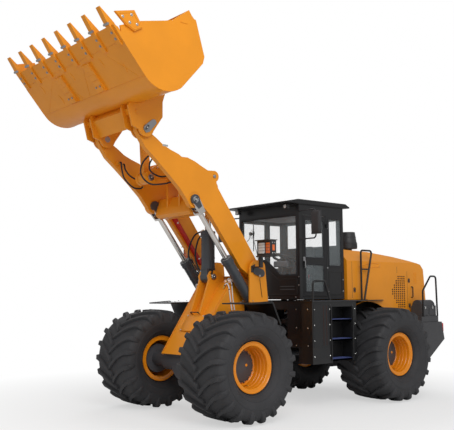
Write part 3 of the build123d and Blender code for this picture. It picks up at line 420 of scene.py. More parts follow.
def vinyl(name, slot, colour):
    """Seat cover: a pebbled grain with a soft sheen."""
    material, tree, shader, place = new_material(name, slot)
    cells = tree.nodes.new("ShaderNodeTexVoronoi")
    cells.inputs["Scale"].default_value = 320.0
    tree.links.new(place, cells.inputs["Vector"])
    tone = noise(tree, place, 6.0)
    tree.links.new(mixed(tree, tone, shade(colour, 0.8), shade(colour, 1.2)), shader.inputs["Base Color"])
    tree.links.new(ranged(tree, tone, 0.3, 0.7, 0.55, 0.7), shader.inputs["Roughness"])
    shader.inputs["Sheen Weight"].default_value = 0.15
    relief(tree, shader, cells.outputs["Distance"], 0.25, 0.001)
    return material


FINISH = {}


def mix_finishes(paint):
    """All finishes, once, from the paint settings."""
    body, black, grey = tuple(paint.body), tuple(paint.black), tuple(paint.grey)
    FINISH.update(
        orange=sprayed_paint("loader orange", "loader_yellow", body),
        rim=sprayed_paint("rim orange", "rim_yellow", tuple(paint.rim), 0.38, 0.3, 0.0),
        black=sprayed_paint("satin black", "black_paint", black, 0.4, 0.25),
        grey=sprayed_paint("counterweight grey", "grey_paint", grey, 0.5, 0.05, 0.012),
        cylinder=sprayed_paint("cylinder grey", "cylinder_paint", tuple(paint.cylinder), 0.36, 0.3, 0.0),
        red=sprayed_paint("strut red", "red_paint", tuple(paint.red), 0.4, 0.2),
        hub=sprayed_paint("hub grey", "grey_paint", (0.075, 0.075, 0.082), 0.5, 0.0, 0.004),
        tyre=rubber("tyre rubber", "tyre_rubber", tuple(paint.rubber)),
        hose=rubber("hose rubber", "tyre_rubber", (0.018, 0.018, 0.02)),
        chrome=metal("chromed rod", "bright_steel", (0.72, 0.69, 0.65), 0.16, (1.0, 1.0, 60.0)),
        pin=metal("pin steel", "pin_steel", (0.4, 0.4, 0.41), 0.34, (30.0, 30.0, 1.0)),
        zinc=metal("zinc plated", "pin_steel", (0.74, 0.74, 0.72), 0.24, (8.0, 8.0, 8.0)),
        brass=metal("yellow chromate", "pin_steel", (0.75, 0.52, 0.13), 0.32, (8.0, 8.0, 8.0)),
        cast=sprayed_paint("cast black", "cast_black", (0.03, 0.03, 0.033), 0.6, 0.0, 0.006),
        plastic=plastic("dark plastic", "dark_plastic", (0.03, 0.03, 0.033)),
        trim=plastic("cab trim", "dark_plastic", (0.17, 0.175, 0.185), 0.6),
        lamp=plastic("lamp housing", "lamp_plastic", (0.025, 0.025, 0.027), 0.3, 90.0, 0.003),
        glass=pane("cab glass", "clear_glass", (0.74, 0.83, 0.86), 0.09),
        clear=lens("clear lens", "lamp_plastic", (0.78, 0.8, 0.8)),
        amber=lens("amber lens", "lamp_plastic", (0.9, 0.17, 0.02)),
        ruby=lens("red lens", "red_lens", (0.62, 0.01, 0.02)),
        vinyl=vinyl("seat vinyl", "seat_vinyl", (0.035, 0.035, 0.04)),
        rust=sprayed_paint("brown primer strip", "black_paint", (0.035, 0.012, 0.008), 0.55, 0.0),
        tread=sprayed_paint("step tread blue", "black_paint", (0.06, 0.08, 0.22), 0.4, 0.1, 0.0),
        white=sprayed_paint("white sleeve", "pin_steel", (0.82, 0.82, 0.82), 0.4, 0.1, 0.0),
    )


# ---------------------------------------------------------------- settings
def colour_of(name, text, value):
    """A colour setting."""
    return FloatVectorProperty(name=name, description=text, default=value, subtype="COLOR", size=3, min=0.0,
        max=1.0)


def size_of(name, text, value):
    """A length setting in metres."""
    return FloatProperty(name=name, description=text, default=value, unit="LENGTH", min=0.0)


class PaintSettings(bpy.types.PropertyGroup):
    body: colour_of("Body", "Paint of the frames, boom, bucket and hood", (0.84, 0.3, 0.012))
    rim: colour_of("Rim", "Paint of the wheel rims", (0.84, 0.27, 0.006))
    black: colour_of("Black", "Paint of the cab, steps and fenders", (0.01, 0.01, 0.011))
    grey: colour_of("Grey", "Paint of the counterweight", (0.062, 0.062, 0.066))
    cylinder: colour_of("Cylinder", "Paint of the hydraulic barrels", (0.055, 0.06, 0.068))
    red: colour_of("Red", "Paint of the safety strut", (0.55, 0.022, 0.014))
    rubber: colour_of("Rubber", "Colour of the tyres", (0.036, 0.036, 0.039))


class TyreSettings(bpy.types.PropertyGroup):
    lugs: IntProperty(name="Lugs", description="Number of tread lugs on each side of a tyre", default=20,
        min=6)
    lug_height: size_of("Lug height", "How far a lug stands above the casing", 0.047)
    lug_width: size_of("Lug width", "Width of a lug across its top", 0.058)
    sweep: FloatProperty(name="Sweep", description="Turn of a lug from the middle to the shoulder",
        default=0.34, subtype="ANGLE")


# ---------------------------------------------------------------- wheels
CASING = np.array([
    # offset from the middle plane, radius
    (0.3215, 0.3735), (0.33, 0.388), (0.356, 0.392), (0.372, 0.404), (0.398, 0.426), (0.43, 0.462),
    (0.458, 0.51), (0.474, 0.56), (0.478, 0.612), (0.47, 0.664), (0.452, 0.706), (0.424, 0.732),
    (0.37, 0.746), (0.25, 0.755), (0.12, 0.76), (0.0, 0.762),
])


def tyre_casing(centre):
    """The casing: a smooth half section, mirrored and closed through the bead, turned about the axle."""
    fine = flowing(np.column_stack([CASING, np.zeros(len(CASING))]), 3)[:, :2]
    half = fine[:-1]
    section = np.concatenate([half, fine[-1:], half[::-1] * (-1, 1), [(-0.3215, 0.3182), (0.3215, 0.3182)]])
    return turned(section, centre, steps=120, loop=True)


def tyre_lugs(centre, tyre, side):
    """Tread lugs: a rounded bar whose foot lies in the casing, carried from the middle over the shoulder.

    Along the bar the angle grows as sweep * (1 - (1 - u) ** 1.7); across it the flanks widen towards the foot.
    """
    top = tyre.lug_height + 0.762 - 0.0045
    stations = np.array([
        # share of the way, foot offset, foot radius, crest offset, crest radius, width factor
        (0.0, -0.014, 0.752, -0.014, top, 0.7), (0.04, 0.004, 0.752, 0.004, top, 0.95),
        (0.2, 0.085, 0.75, 0.086, top - 0.001, 1.0), (0.4, 0.18, 0.747, 0.184, top - 0.003, 1.05),
        (0.6, 0.27, 0.742, 0.278, top - 0.007, 1.1), (0.8, 0.355, 0.733, 0.37, top - 0.013, 1.2),
        (0.92, 0.405, 0.722, 0.428, top - 0.022, 1.32), (0.97, 0.428, 0.71, 0.452, top - 0.036, 1.38),
        (1.0, 0.448, 0.69, 0.474, top - 0.066, 1.36), (1.02, 0.462, 0.66, 0.486, top - 0.106, 1.24),
        (1.04, 0.468, 0.632, 0.487, 0.655, 1.1), (1.06, 0.469, 0.6, 0.48, 0.616, 0.92),
    ])
    share = np.clip(stations[:, 0], 0, 1)
    turn = tyre.sweep * (1 - (1 - share) ** 1.7) + 0.3 * (stations[:, 0] - share)
    # across the bar: place (-1 to 1) and height (0 at the foot, 1 at the crest)
    across = np.array([(-1.42, 0.0), (-1.18, 0.45), (-1.0, 0.86), (-0.84, 1.0), (0.84, 1.0), (1.0, 0.86),
        (1.18, 0.45), (1.42, 0.0)])
    foot, crest = stations[:, None, 1:3], stations[:, None, 3:5]
    place = foot + (crest - foot) * across[None, :, 1:2]
    half_turn = across[None, :, 0] * tyre.lug_width * stations[:, None, 5] / 2 / 0.79
    angle = turn[:, None] + half_turn
    pitch = 2 * math.pi / tyre.lugs
    start = math.radians(90) + (0.5 * pitch if side > 0 else 0.0)
    lugs = []
    for index in range(tyre.lugs):
        # the middle of a bar leads when the machine drives forward, which turns the wheel top towards -Y
        a = start + index * pitch - angle
        x, r = side * place[..., 0], place[..., 1]
        points = np.stack([x, r * np.cos(a), r * np.sin(a)], -1) + centre
        lugs.append(grid(points, loop_columns=True))
    return merged(*lugs)


def side_rings(centre, side):
    """Fine raised rings on the side wall: small half-round beads turned about the axle."""
    rings = []
    for offset, radius in ((0.377, 0.407), (0.4385, 0.474), (0.4775, 0.585)):
        bead = [(side * (offset - 0.004), radius - 0.007), (side * (offset + 0.003), radius - 0.003),
            (side * (offset + 0.004), radius), (side * (offset + 0.002), radius + 0.004),
            (side * (offset - 0.006), radius + 0.006)]
        rings.append(turned(bead, centre, steps=96, loop=True))
    return merged(*rings)


class DressTyres(bpy.types.Operator):
    """Tyres with a smooth casing, side rings and chevron lugs"""
    bl_idname = "loader.tyres"
    bl_label = "Tyres"

    def execute(self, context):
        tyre = context.scene.loader_tyre
        for wheel in WHEELS:
            centre = centre_of(f"tyre_{wheel}")
            parts = [tyre_casing(centre)]
            for side in (1, -1):
                parts += [tyre_lugs(centre, tyre, side), side_rings(centre, side)]
            piece = put(f"tyre_{wheel}_tread", parts, "tyre", f"wheel_{wheel}", angle=42)
            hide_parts(f"tyre_{wheel}")
        return {"FINISHED"}


RIM_OUTER = [(0.344, 0.3695), (0.336, 0.3697), (0.3245, 0.366), (0.3235, 0.352), (0.322, 0.3177),
    (0.06, 0.2997), (-0.04, 0.3177), (-0.322, 0.3177), (-0.3235, 0.352), (-0.3245, 0.366), (-0.336, 0.3697),
    (-0.344, 0.3695)]
RIM_INNER = [(-0.346, 0.362), (-0.336, 0.35), (-0.334, 0.3), (-0.06, 0.29), (0.022, 0.284), (0.026, 0.2355),
    (0.058, 0.2355), (0.062, 0.262), (0.075, 0.276), (0.138, 0.282), (0.146, 0.29), (0.152, 0.283),
    (0.198, 0.2865), (0.208, 0.297), (0.214, 0.29), (0.262, 0.2965), (0.272, 0.305), (0.279, 0.2985),
    (0.322, 0.3035), (0.331, 0.312), (0.333, 0.345), (0.34, 0.357), (0.346, 0.362)]


class DressRims(bpy.types.Operator):
    """Deep rims with rolled rings, hub bolts, valve and hub face"""
    bl_idname = "loader.rims"
    bl_label = "Rims and hubs"

    def execute(self, context):
        for wheel in WHEELS:
            centre = centre_of(f"tyre_{wheel}")
            side = 1 if wheel.endswith("left") else -1
            profile = np.array(RIM_OUTER + RIM_INNER) * (side, 1)
            piece = put(f"rim_{wheel}_rolled", turned(profile, centre, steps=112, loop=True), "rim",
                f"wheel_{wheel}", angle=30)
            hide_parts(f"rim_{wheel}")
            studs = bolt_heads(circle_of(centre + (side * 0.06, 0, 0), 0.2475, 20), (side, 0, 0), 0.0085,
                0.016)
            put(f"wheel_nuts_{wheel}", studs, "hub", f"wheel_{wheel}")
            valve = tube(centre
                + np.array([(side * 0.15, 0, -0.285), (side * 0.19, 0, -0.262), (side * 0.235, 0, -0.262)]),
                0.007)
            put(f"valve_{wheel}", valve, "brass", f"wheel_{wheel}")
            self.hub(wheel, centre, side)
        return {"FINISHED"}

    def hub(self, wheel, centre, side):
        """The planetary cover on the axle: a stepped disc, a ring of screws and the drain plug."""
        body = FRONT if wheel.startswith("front") else REAR
        face = side * 0.084
        cover = turned([(face - side * 0.002, 0.214), (face + side * 0.012, 0.212),
            (face + side * 0.016, 0.204), (face + side * 0.018, 0.135), (face + side * 0.0235, 0.125),
            (face + side * 0.0245, 0.02)], centre, steps=64)
        put(f"hub_cover_{wheel}", cover, "hub", body)
        screws = bolt_heads(circle_of(centre + (face, 0, 0), 0.222, 12, 0.26), (side, 0, 0), 0.008, 0.01)
        put(f"hub_screws_{wheel}", screws, "pin", body)
        plug = turned([(face + side * 0.015, 0.021), (face + side * 0.027, 0.021),
            (face + side * 0.031, 0.015), (face + side * 0.031, 0.004)], centre + (0, 0.085, 0.015), steps=20)
        put(f"drain_plug_{wheel}", plug, "orange", body)


# ---------------------------------------------------------------- frame finishes
NODE_FINISH = {
    "orange": ("hood", "front_frame", "boom", "bucket", "coupler", "bucket_teeth", "bellcrank", "tilt_link"),
    "black": ("rear_frame", "rear_grille", "tow_hitch", "side_steps", "handrails", "cab_frame", "cab_roof",
    "front_fenders", "door_left"),
    "grey": ("counterweight", "battery_boxes"),
    "hub": ("rear_axle", "front_axle"),
    "cylinder": ("tilt_barrel", "lift_barrel_left", "lift_barrel_right", "steer_barrel_left",
    "steer_barrel_right"),
    "chrome": ("tilt_rod", "lift_rod_left", "lift_rod_right", "steer_rod_left", "steer_rod_right"),
    "pin": ("bucket_pins", "bellcrank_pin", "link_pin", "tilt_base_pin"),
    "cast": ("engine_block",),
    "plastic": ("intake_exhaust", "mirrors", "steering_column"),
    "red": ("boom_safety_strut",),
    "lamp": ("headlamps", "work_lamps"),
    "ruby": ("tail_lamps",),
    "glass": ("cab_glass", "door_left_glass"),
    "vinyl": ("seat",),
    "tyre": tuple(f"tyre_{wheel}" for wheel in WHEELS),
    "rim": tuple(f"rim_{wheel}" for wheel in WHEELS),
}


class PaintFrame(bpy.types.Operator):
    """Finishes of the solid parts that stay as they are"""
    bl_idname = "loader.paint"
    bl_label = "Paint the solid parts"

    def execute(self, context):
        mix_finishes(context.scene.loader_paint)
        for finish, nodes in NODE_FINISH.items():
            for node in nodes:
                for material_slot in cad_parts[node].material_slots:
                    material_slot.material = FINISH[finish]
        return {"FINISHED"}


# ---------------------------------------------------------------- bucket
FLOOR_ANGLE = math.radians(49)
FLOOR_DIR = np.array([0.0, -math.cos(FLOOR_ANGLE), math.sin(FLOOR_ANGLE)])
FLOOR_UP = np.array([0.0, math.sin(FLOOR_ANGLE), math.cos(FLOOR_ANGLE)])
FLOOR_LIP = np.array([0.0, -3.9603, 5.1614])
HEEL = np.array([0.0, -3.27, 5.038])
TEETH = (np.arange(8) - 3.5) * 0.3817


def on_floor(x, forward, above):
    """Points measured from the lip seam: across, forward along the floor and above it."""
    x, forward, above = np.broadcast_arrays(x, forward, above)
    return FLOOR_LIP + x[..., None] * LEFT + forward[..., None] * FLOOR_DIR + above[..., None] * FLOOR_UP


def weld(path, size=0.006):
    """A weld bead: a thin tube along a path whose radius ripples as a sine of the way along it."""
    path = rounded(path, 0.01, 3) if len(path) < 12 else np.asarray(path, float)
    length = np.concatenate([[0.0], np.cumsum(np.linalg.norm(np.diff(path, axis=0), axis=1))])
    even = np.arange(0, length[-1], 0.012)
    fine = np.column_stack([np.interp(even, length, path[:, k]) for k in range(3)])
    return tube(fine, size * (1 + 0.14 * np.sin(even * 420)), 7)


class DressBucket(bpy.types.Operator):
    """Tooth bolts, side cutters, weld seams and wear pads of the bucket"""
    bl_idname = "loader.bucket"
    bl_label = "Bucket"

    def execute(self, context):
        below = tuple(-FLOOR_UP)
        across = np.concatenate([TEETH, TEETH])
        forward = np.repeat([0.045, 0.135], 8)
        put("adapter_bolts", bolt_heads(on_floor(across, forward, -0.023), below, 0.015, 0.014), "pin",
            "bucket")
        wedge = np.array([on_floor(np.array([x]), 0.262, -0.03)[0] for x in TEETH])
        pins = [turned([(-0.052, 0.0155), (-0.047, 0.018), (0.047, 0.018), (0.052, 0.0155)], point, steps=20)
            for point in wedge]
        put("tooth_pins", pins, "pin", "bucket")
        self.cutters()
        self.seams()
        self.wear_pads()
        return {"FINISHED"}

    def cutters(self):
        """Bolted side cutters: a raised rim plate, two sunk windows and four bolts on each side."""
        outline = np.array([(-4.085, 5.495), (-3.803, 5.573), (-3.676, 5.381), (-3.79, 5.312),
            (-3.925, 5.368)])
        middle = outline.mean(0)
        face = 1.4602
        frame_in = middle + (outline - middle) * 0.78
        rim = grid(np.stack([
            np.column_stack([np.full(5, x), ring]) for x, ring in
            ((face, outline), (face + 0.006, middle + (outline - middle) * 0.97),
            (face + 0.006, middle + (frame_in - middle) * 1.03), (face, frame_in))]),
            loop_rows=True, loop_columns=True)
        put("side_cutter_rims", both(rim), "orange", "bucket", 0.002)
        places = [(face, -3.98, 5.455), (face, -3.845, 5.51), (face, -3.755, 5.4), (face, -3.87, 5.4)]
        put("side_cutter_bolts", both(bolt_heads(places, LEFT, 0.016, 0.014)), "zinc", "bucket")

    def seams(self):
        """Weld beads between the shell and the side plates, and along the floor's joints."""
        turn = np.linspace(-math.pi / 2 - math.radians(41), -math.pi / 2 + math.radians(42), 22)
        arc = HEEL + 0.4405 * np.column_stack([np.zeros(22), np.cos(turn), np.sin(turn)])
        edge = np.concatenate([on_floor(np.zeros(2), np.array([-0.05, -0.5]), -0.0005), arc])
        beads = [weld(edge + (x, 0, 0), 0.005) for x in (-1.428, 1.428)]
        for forward in (-0.012, -0.548):
            beads.append(weld(on_floor(np.array([-1.42, 1.42]), forward, -0.001), 0.005))
        put("bucket_welds", beads, "orange", "bucket")
        lifting = both(prism([(-3.02, 5.62), (-2.98, 5.66), (-2.92, 5.66), (-2.89, 5.62)], 1.431, 1.4375))
        put("bucket_eye_plates", lifting, "orange", "bucket", 0.003)

    def wear_pads(self):
        """Pads and bolts on the wear boxes under the floor."""
        pads, bolts = [], []
        for x in (-0.4, 0.4):
            for forward in (-0.16, -0.3, -0.4):
                corners = np.array([on_floor(np.array(x + a), np.array(forward + b), np.array(h))
                    for a, b, h in (
                    (-0.078, -0.045, -0.034), (0.078, -0.045, -0.034), (0.078, 0.045, -0.034),
                    (-0.078, 0.045, -0.034),
                    (-0.074, -0.041, -0.04), (0.074, -0.041, -0.04), (0.074, 0.041, -0.04),
                    (-0.074, 0.041, -0.04))])
                pads.append(grid(corners.reshape(2, 4, 3), loop_columns=True))
            bolts += [on_floor(np.array(x + a), np.array(-0.445), np.array(-0.0485)) for a in (-0.05, 0.05)]
        marks = []
        for x, forward in ((-1.02, -0.17), (-0.1, -0.17), (0.72, -0.17), (1.12, -0.34), (-0.72, -0.42)):
            centre = on_floor(np.array([x]), forward, 0.001)[0]
            bow = np.linspace(-1, 1, 15)
            path = centre + FLOOR_DIR * (bow[:, None] * 0.085) + np.array([1.0, 0,
                0]) * (0.022 * (1 - bow[:, None] ** 2))
            marks.append(tube(path, 0.011 * np.sqrt(1.05 - bow ** 2), 8))
        put("floor_plugs", marks, "orange", "bucket")
        lines = [weld(on_floor(np.array([a, b]), np.array([-0.53, -0.1]), 0.0), 0.004)
            for a, b in ((-1.25, -0.62), (-0.15, -0.52), (0.02, 0.28), (1.3, 0.92))]
        put("floor_seams", lines, "orange", "bucket")
        put("wear_pads", pads, "orange", "bucket", 0.002)
        put("wear_pad_bolts", bolt_heads(bolts, tuple(-FLOOR_UP), 0.012, 0.011), "pin", "bucket")


# ---------------------------------------------------------------- linkage
def pin_cap(centre, direction, radius, depth=0.012):
    """The end of a pin: a chamfered disc with a shallow dished face."""
    return turned([(-0.002, radius), (depth * 0.6, radius), (depth, radius - 0.005), (depth, radius * 0.62),
        (depth - 0.003, radius * 0.55), (depth - 0.003, 0.003)], centre, direction, 36)


def keeper(centre, direction, length, width, depth, turn=0.0):
    """A keeper plate: a flat bar with round ends, lying square to the direction."""
    side, up = triad(direction)
    side, up = math.cos(turn) * side + math.sin(turn) * up, math.cos(turn) * up - math.sin(turn) * side
    half = np.linspace(-math.pi / 2, math.pi / 2, 10)
    run = length / 2 - width / 2
    outline = np.concatenate([
        np.column_stack([run + np.cos(half) * width / 2, np.sin(half) * width / 2]),
        np.column_stack([-run - np.cos(half) * width / 2, -np.sin(half) * width / 2])])
    flat = outline[:, :1] * side + outline[:, 1:] * up + np.asarray(centre, float)
    return grid(np.stack([flat, flat + unit(direction) * depth]), loop_columns=True)


def grease_nipple(place, direction):
    """A small turned nipple: hexagon foot, neck and ball head."""
    return turned([(0.0, 0.007), (0.006, 0.007), (0.007, 0.0045), (0.012, 0.0032), (0.015, 0.0045),
        (0.019, 0.0035), (0.02, 0.001)], place, direction, 12)


PINS = (
    # name, y, z, x of the face, cap radius, body, keeper length, keeper turn
    ("bucket_hinge", -3.033, 4.263, 0.6495, 0.046, "bucket_pins", 0.15, 0.9),
    ("lift_foot", -0.7, 1.45, 0.6645, 0.04, FRONT, 0.13, 1.2),
    ("tilt_eye", -1.364, 3.599, 0.1425, 0.052, "bellcrank", 0.15, 0.4),
    ("link_eye", -2.6, 3.64, 0.1425, 0.052, "bellcrank", 0.15, -0.6),
    ("link_head", -2.655, 4.489, 0.1425, 0.045, "link_pin", 0.13, 0.2),
    ("bellcrank_hinge", -1.974, 3.835, 0.1815, 0.045, "bellcrank_pin", 0.13, 0.3),
    ("tilt_foot", -1.364, 2.135, 0.1495, 0.045, "tilt_base_pin", 0.13, 0.3),
)


class DressLinkage(bpy.types.Operator):
    """Pin ends, keeper plates, bolts and grease nipples of the boom and bucket linkage"""
    bl_idname = "loader.linkage"
    bl_label = "Linkage pins"

    def execute(self, context):
        for name, y, z, x, radius, body, length, turn in PINS:
            caps = both(pin_cap((x, y, z), LEFT, radius))
            put(f"{name}_caps", caps, "pin", body)
            plate = both(keeper((x + 0.009, y, z), LEFT, length * 0.62, 0.032, 0.007, turn))
            put(f"{name}_keepers", plate, "hub", body, 0.0015)
            put(f"{name}_keeper_bolts", both(bolt_heads([(x + 0.016, y, z)], LEFT, 0.01, 0.009)), "zinc",
                body)
        for name, side in SIDES:
            self.lift_eye(name, side)
        self.bosses()
        return {"FINISHED"}

    def lift_eye(self, name, side):
        """The pin of the lift rod's fork, with its keeper and bright bolt."""
        x = side * 0.616
        along = unit(np.array([0.0, 1.4, -1.84]))
        across = np.cross(along, LEFT)
        a = np.linspace(-0.72 * math.pi, 0.72 * math.pi, 28)
        outline = np.concatenate([
            np.array([-2.1, 3.29]) - np.cos(a)[:, None] * 0.0798 * along[1:] + np.sin(a)[:,
            None] * 0.0798 * across[1:],
            [np.array([-2.1, 3.29]) + along[1:] * 0.15 + across[1:] * w for w in (0.04, -0.04)]])
        cheeks = merged(*[prism(outline, side * low, side * high)
            for low, high in ((0.4445, 0.48), (0.58, 0.6148))])
        collar = turned([(0.11, 0.03), (0.112, 0.052), (0.15, 0.054), (0.16, 0.048), (0.162, 0.0405)],
            (side * 0.53, -2.1, 3.29), along, 36)
        put(f"lift_fork_{name}", merged(cheeks, collar), "cylinder", f"lift_rod_{name}", 0.002)
        put(f"lift_eye_cap_{name}", pin_cap((x, -2.1, 3.29), (side, 0, 0), 0.048, 0.006), "pin",
            f"lift_rod_{name}")
        put(f"lift_eye_keeper_{name}", keeper((x + side * 0.004, -2.1, 3.29), (side, 0, 0), 0.11, 0.034,
            0.004, 1.1), "hub", f"lift_rod_{name}", 0.001)
        put(f"lift_eye_bolt_{name}", bolt_heads([(x + side * 0.008, -2.1, 3.29)], (side, 0, 0), 0.011, 0.004),
            "zinc", f"lift_rod_{name}")

    def bosses(self):
        """Weld beads round the bosses of the boom and the bellcrank, and their grease nipples."""
        beads, small = [], []
        for y, z, radius, x in ((-3.033, 4.263, 0.135, 0.5755), (-2.1, 3.29, 0.122, 0.5755),
                (-0.85, 2.22, 0.13, 0.5755)):
            ring = circle_of((x, y, z), radius, 60)
            beads.append(tube(np.concatenate([ring, ring[:1]]), 0.0045, 7))
        put("boom_boss_welds", both(beads), "orange", "boom")
        for y, z, radius in ((-2.6, 3.64, 0.1035), (-1.364, 3.599, 0.1035), (-1.974, 3.835, 0.1185)):
            ring = circle_of((0.1305, y, z), radius, 50)
            small.append(tube(np.concatenate([ring, ring[:1]]), 0.004, 7))
        put("bellcrank_boss_welds", both(small), "orange", "bellcrank")
        nipples = merged(*[grease_nipple((0.53, y, z), (0, b, c))
            for y, z, b, c in ((-3.033, 4.398, 0, 1), (-2.1, 3.412, 0, 1))])
        put("grease_nipples", both(nipples), "brass", "boom")


# ---------------------------------------------------------------- cylinders
CYLINDERS = (
    # name, base pin, rod pin, x, barrel radius, barrel length, rod radius, body of the barrel
    ("lift_left", (-0.7, 1.45), (-2.1, 3.29), 0.53, 0.085, 1.215, 0.04, "lift_barrel_left"),
    ("lift_right", (-0.7, 1.45), (-2.1, 3.29), -0.53, 0.085, 1.215, 0.04, "lift_barrel_right"),
    ("tilt", (-1.364, 2.135), (-1.364, 3.599), 0.0, 0.11, 0.74, 0.05, "tilt_barrel"),
)


class DressCylinders(bpy.types.Operator):
    """Glands, wipers, ports, feed pipes and clamps of the hydraulic cylinders"""
    bl_idname = "loader.cylinders"
    bl_label = "Cylinders"

    def execute(self, context):
        for name, base, eye, x, radius, length, rod, body in CYLINDERS:
            start = np.array([x, *base])
            axis = unit(np.array([0.0, eye[0] - base[0], eye[1] - base[1]]))
            gland = start + axis * (length - (0.0 if name == "tilt" else 0.026))
            lip = radius + (0.008 if name != "tilt" else 0.01)
            head = turned([(-0.074, radius + 0.0004), (-0.07, lip + 0.003), (-0.052, lip + 0.004),
                (-0.05, lip + 0.0005), (-0.014, lip + 0.0005), (-0.012, lip + 0.004), (0.001, lip + 0.003),
                (0.007, lip - 0.004), (0.008, rod + 0.016), (0.02, rod + 0.012), (0.022, rod + 0.0015),
                (0.002, rod + 0.0012)], gland, axis, 56)
            put(f"{name}_gland", head, "cylinder", body)
            wiper = turned([(0.018, rod + 0.011), (0.026, rod + 0.009), (0.03, rod + 0.0008),
                (0.018, rod + 0.0008)], gland, axis, 48, loop=True)
            put(f"{name}_wiper", wiper, "hose", body)
            side, up = triad(axis)
            ring = [start + axis * (length + (0.0075 if name == "tilt" else -0.0015))
                + (math.cos(a) * side + math.sin(a) * up) * (rod + 0.03)
                for a in np.arange(8) * math.pi / 4 + 0.2]
            put(f"{name}_gland_screws", bolt_heads(ring, axis, 0.0075, 0.008 if name == "tilt" else 0.005),
                "pin", body)
            self.pipe(name, start, axis, length, radius, body, 1 if x >= 0 else -1)
        return {"FINISHED"}

    def pipe(self, name, start, axis, length, radius, body, side):
        """The feed pipe: from a port block at the foot, along the barrel's back, to the port at the gland."""
        back = np.array([0.0, 1.0, 0.0]) - axis * axis[1]
        back = unit(back) if abs(axis[1]) > 0.01 else np.array([0.0, 1.0, 0.0])
        off = radius + 0.02
        turn = np.array([-side * 0.45, 0, 0]) + back
        turn = unit(turn)
        route = [start + axis * 0.17 + turn * (radius - 0.003), start + axis * 0.17 + turn * (off + 0.004),
            start + axis * 0.24 + turn * off,
                 start + axis * (length - 0.13) + turn * off,
                 start + axis * (length - 0.045) + turn * (off + 0.004),
                 start + axis * (length - 0.045) + turn * radius]
        put(f"{name}_feed_pipe", tube(rounded(route, 0.03, 6), 0.0085, 12), "cylinder", body)
        nuts = [turned([(-0.012, 0.0125), (-0.01, 0.014), (0.01, 0.014), (0.012, 0.0125)],
            start + axis * a + turn * (off + 0.002), axis, 6) for a in (0.25, length - 0.14)]
        put(f"{name}_pipe_nuts", nuts, "brass", body)
        clamps = []
        for a in (0.42, 0.72):
            middle = start + axis * a * length
            band = turned([(-0.011, radius + 0.0004), (-0.011, radius + 0.004), (0.011, radius + 0.004),
                (0.011, radius + 0.0004)], middle, axis, 40, loop=True)
            clamps.append(band)
        put(f"{name}_bands", clamps, "cylinder", body)
        ports = [turned([(radius - 0.004, 0.026), (radius + 0.012, 0.026), (radius + 0.016, 0.022),
            (radius + 0.016, 0.01)], start + axis * a, turn, 20) for a in (0.17, length - 0.045)]
        put(f"{name}_ports", ports, "cylinder", body)


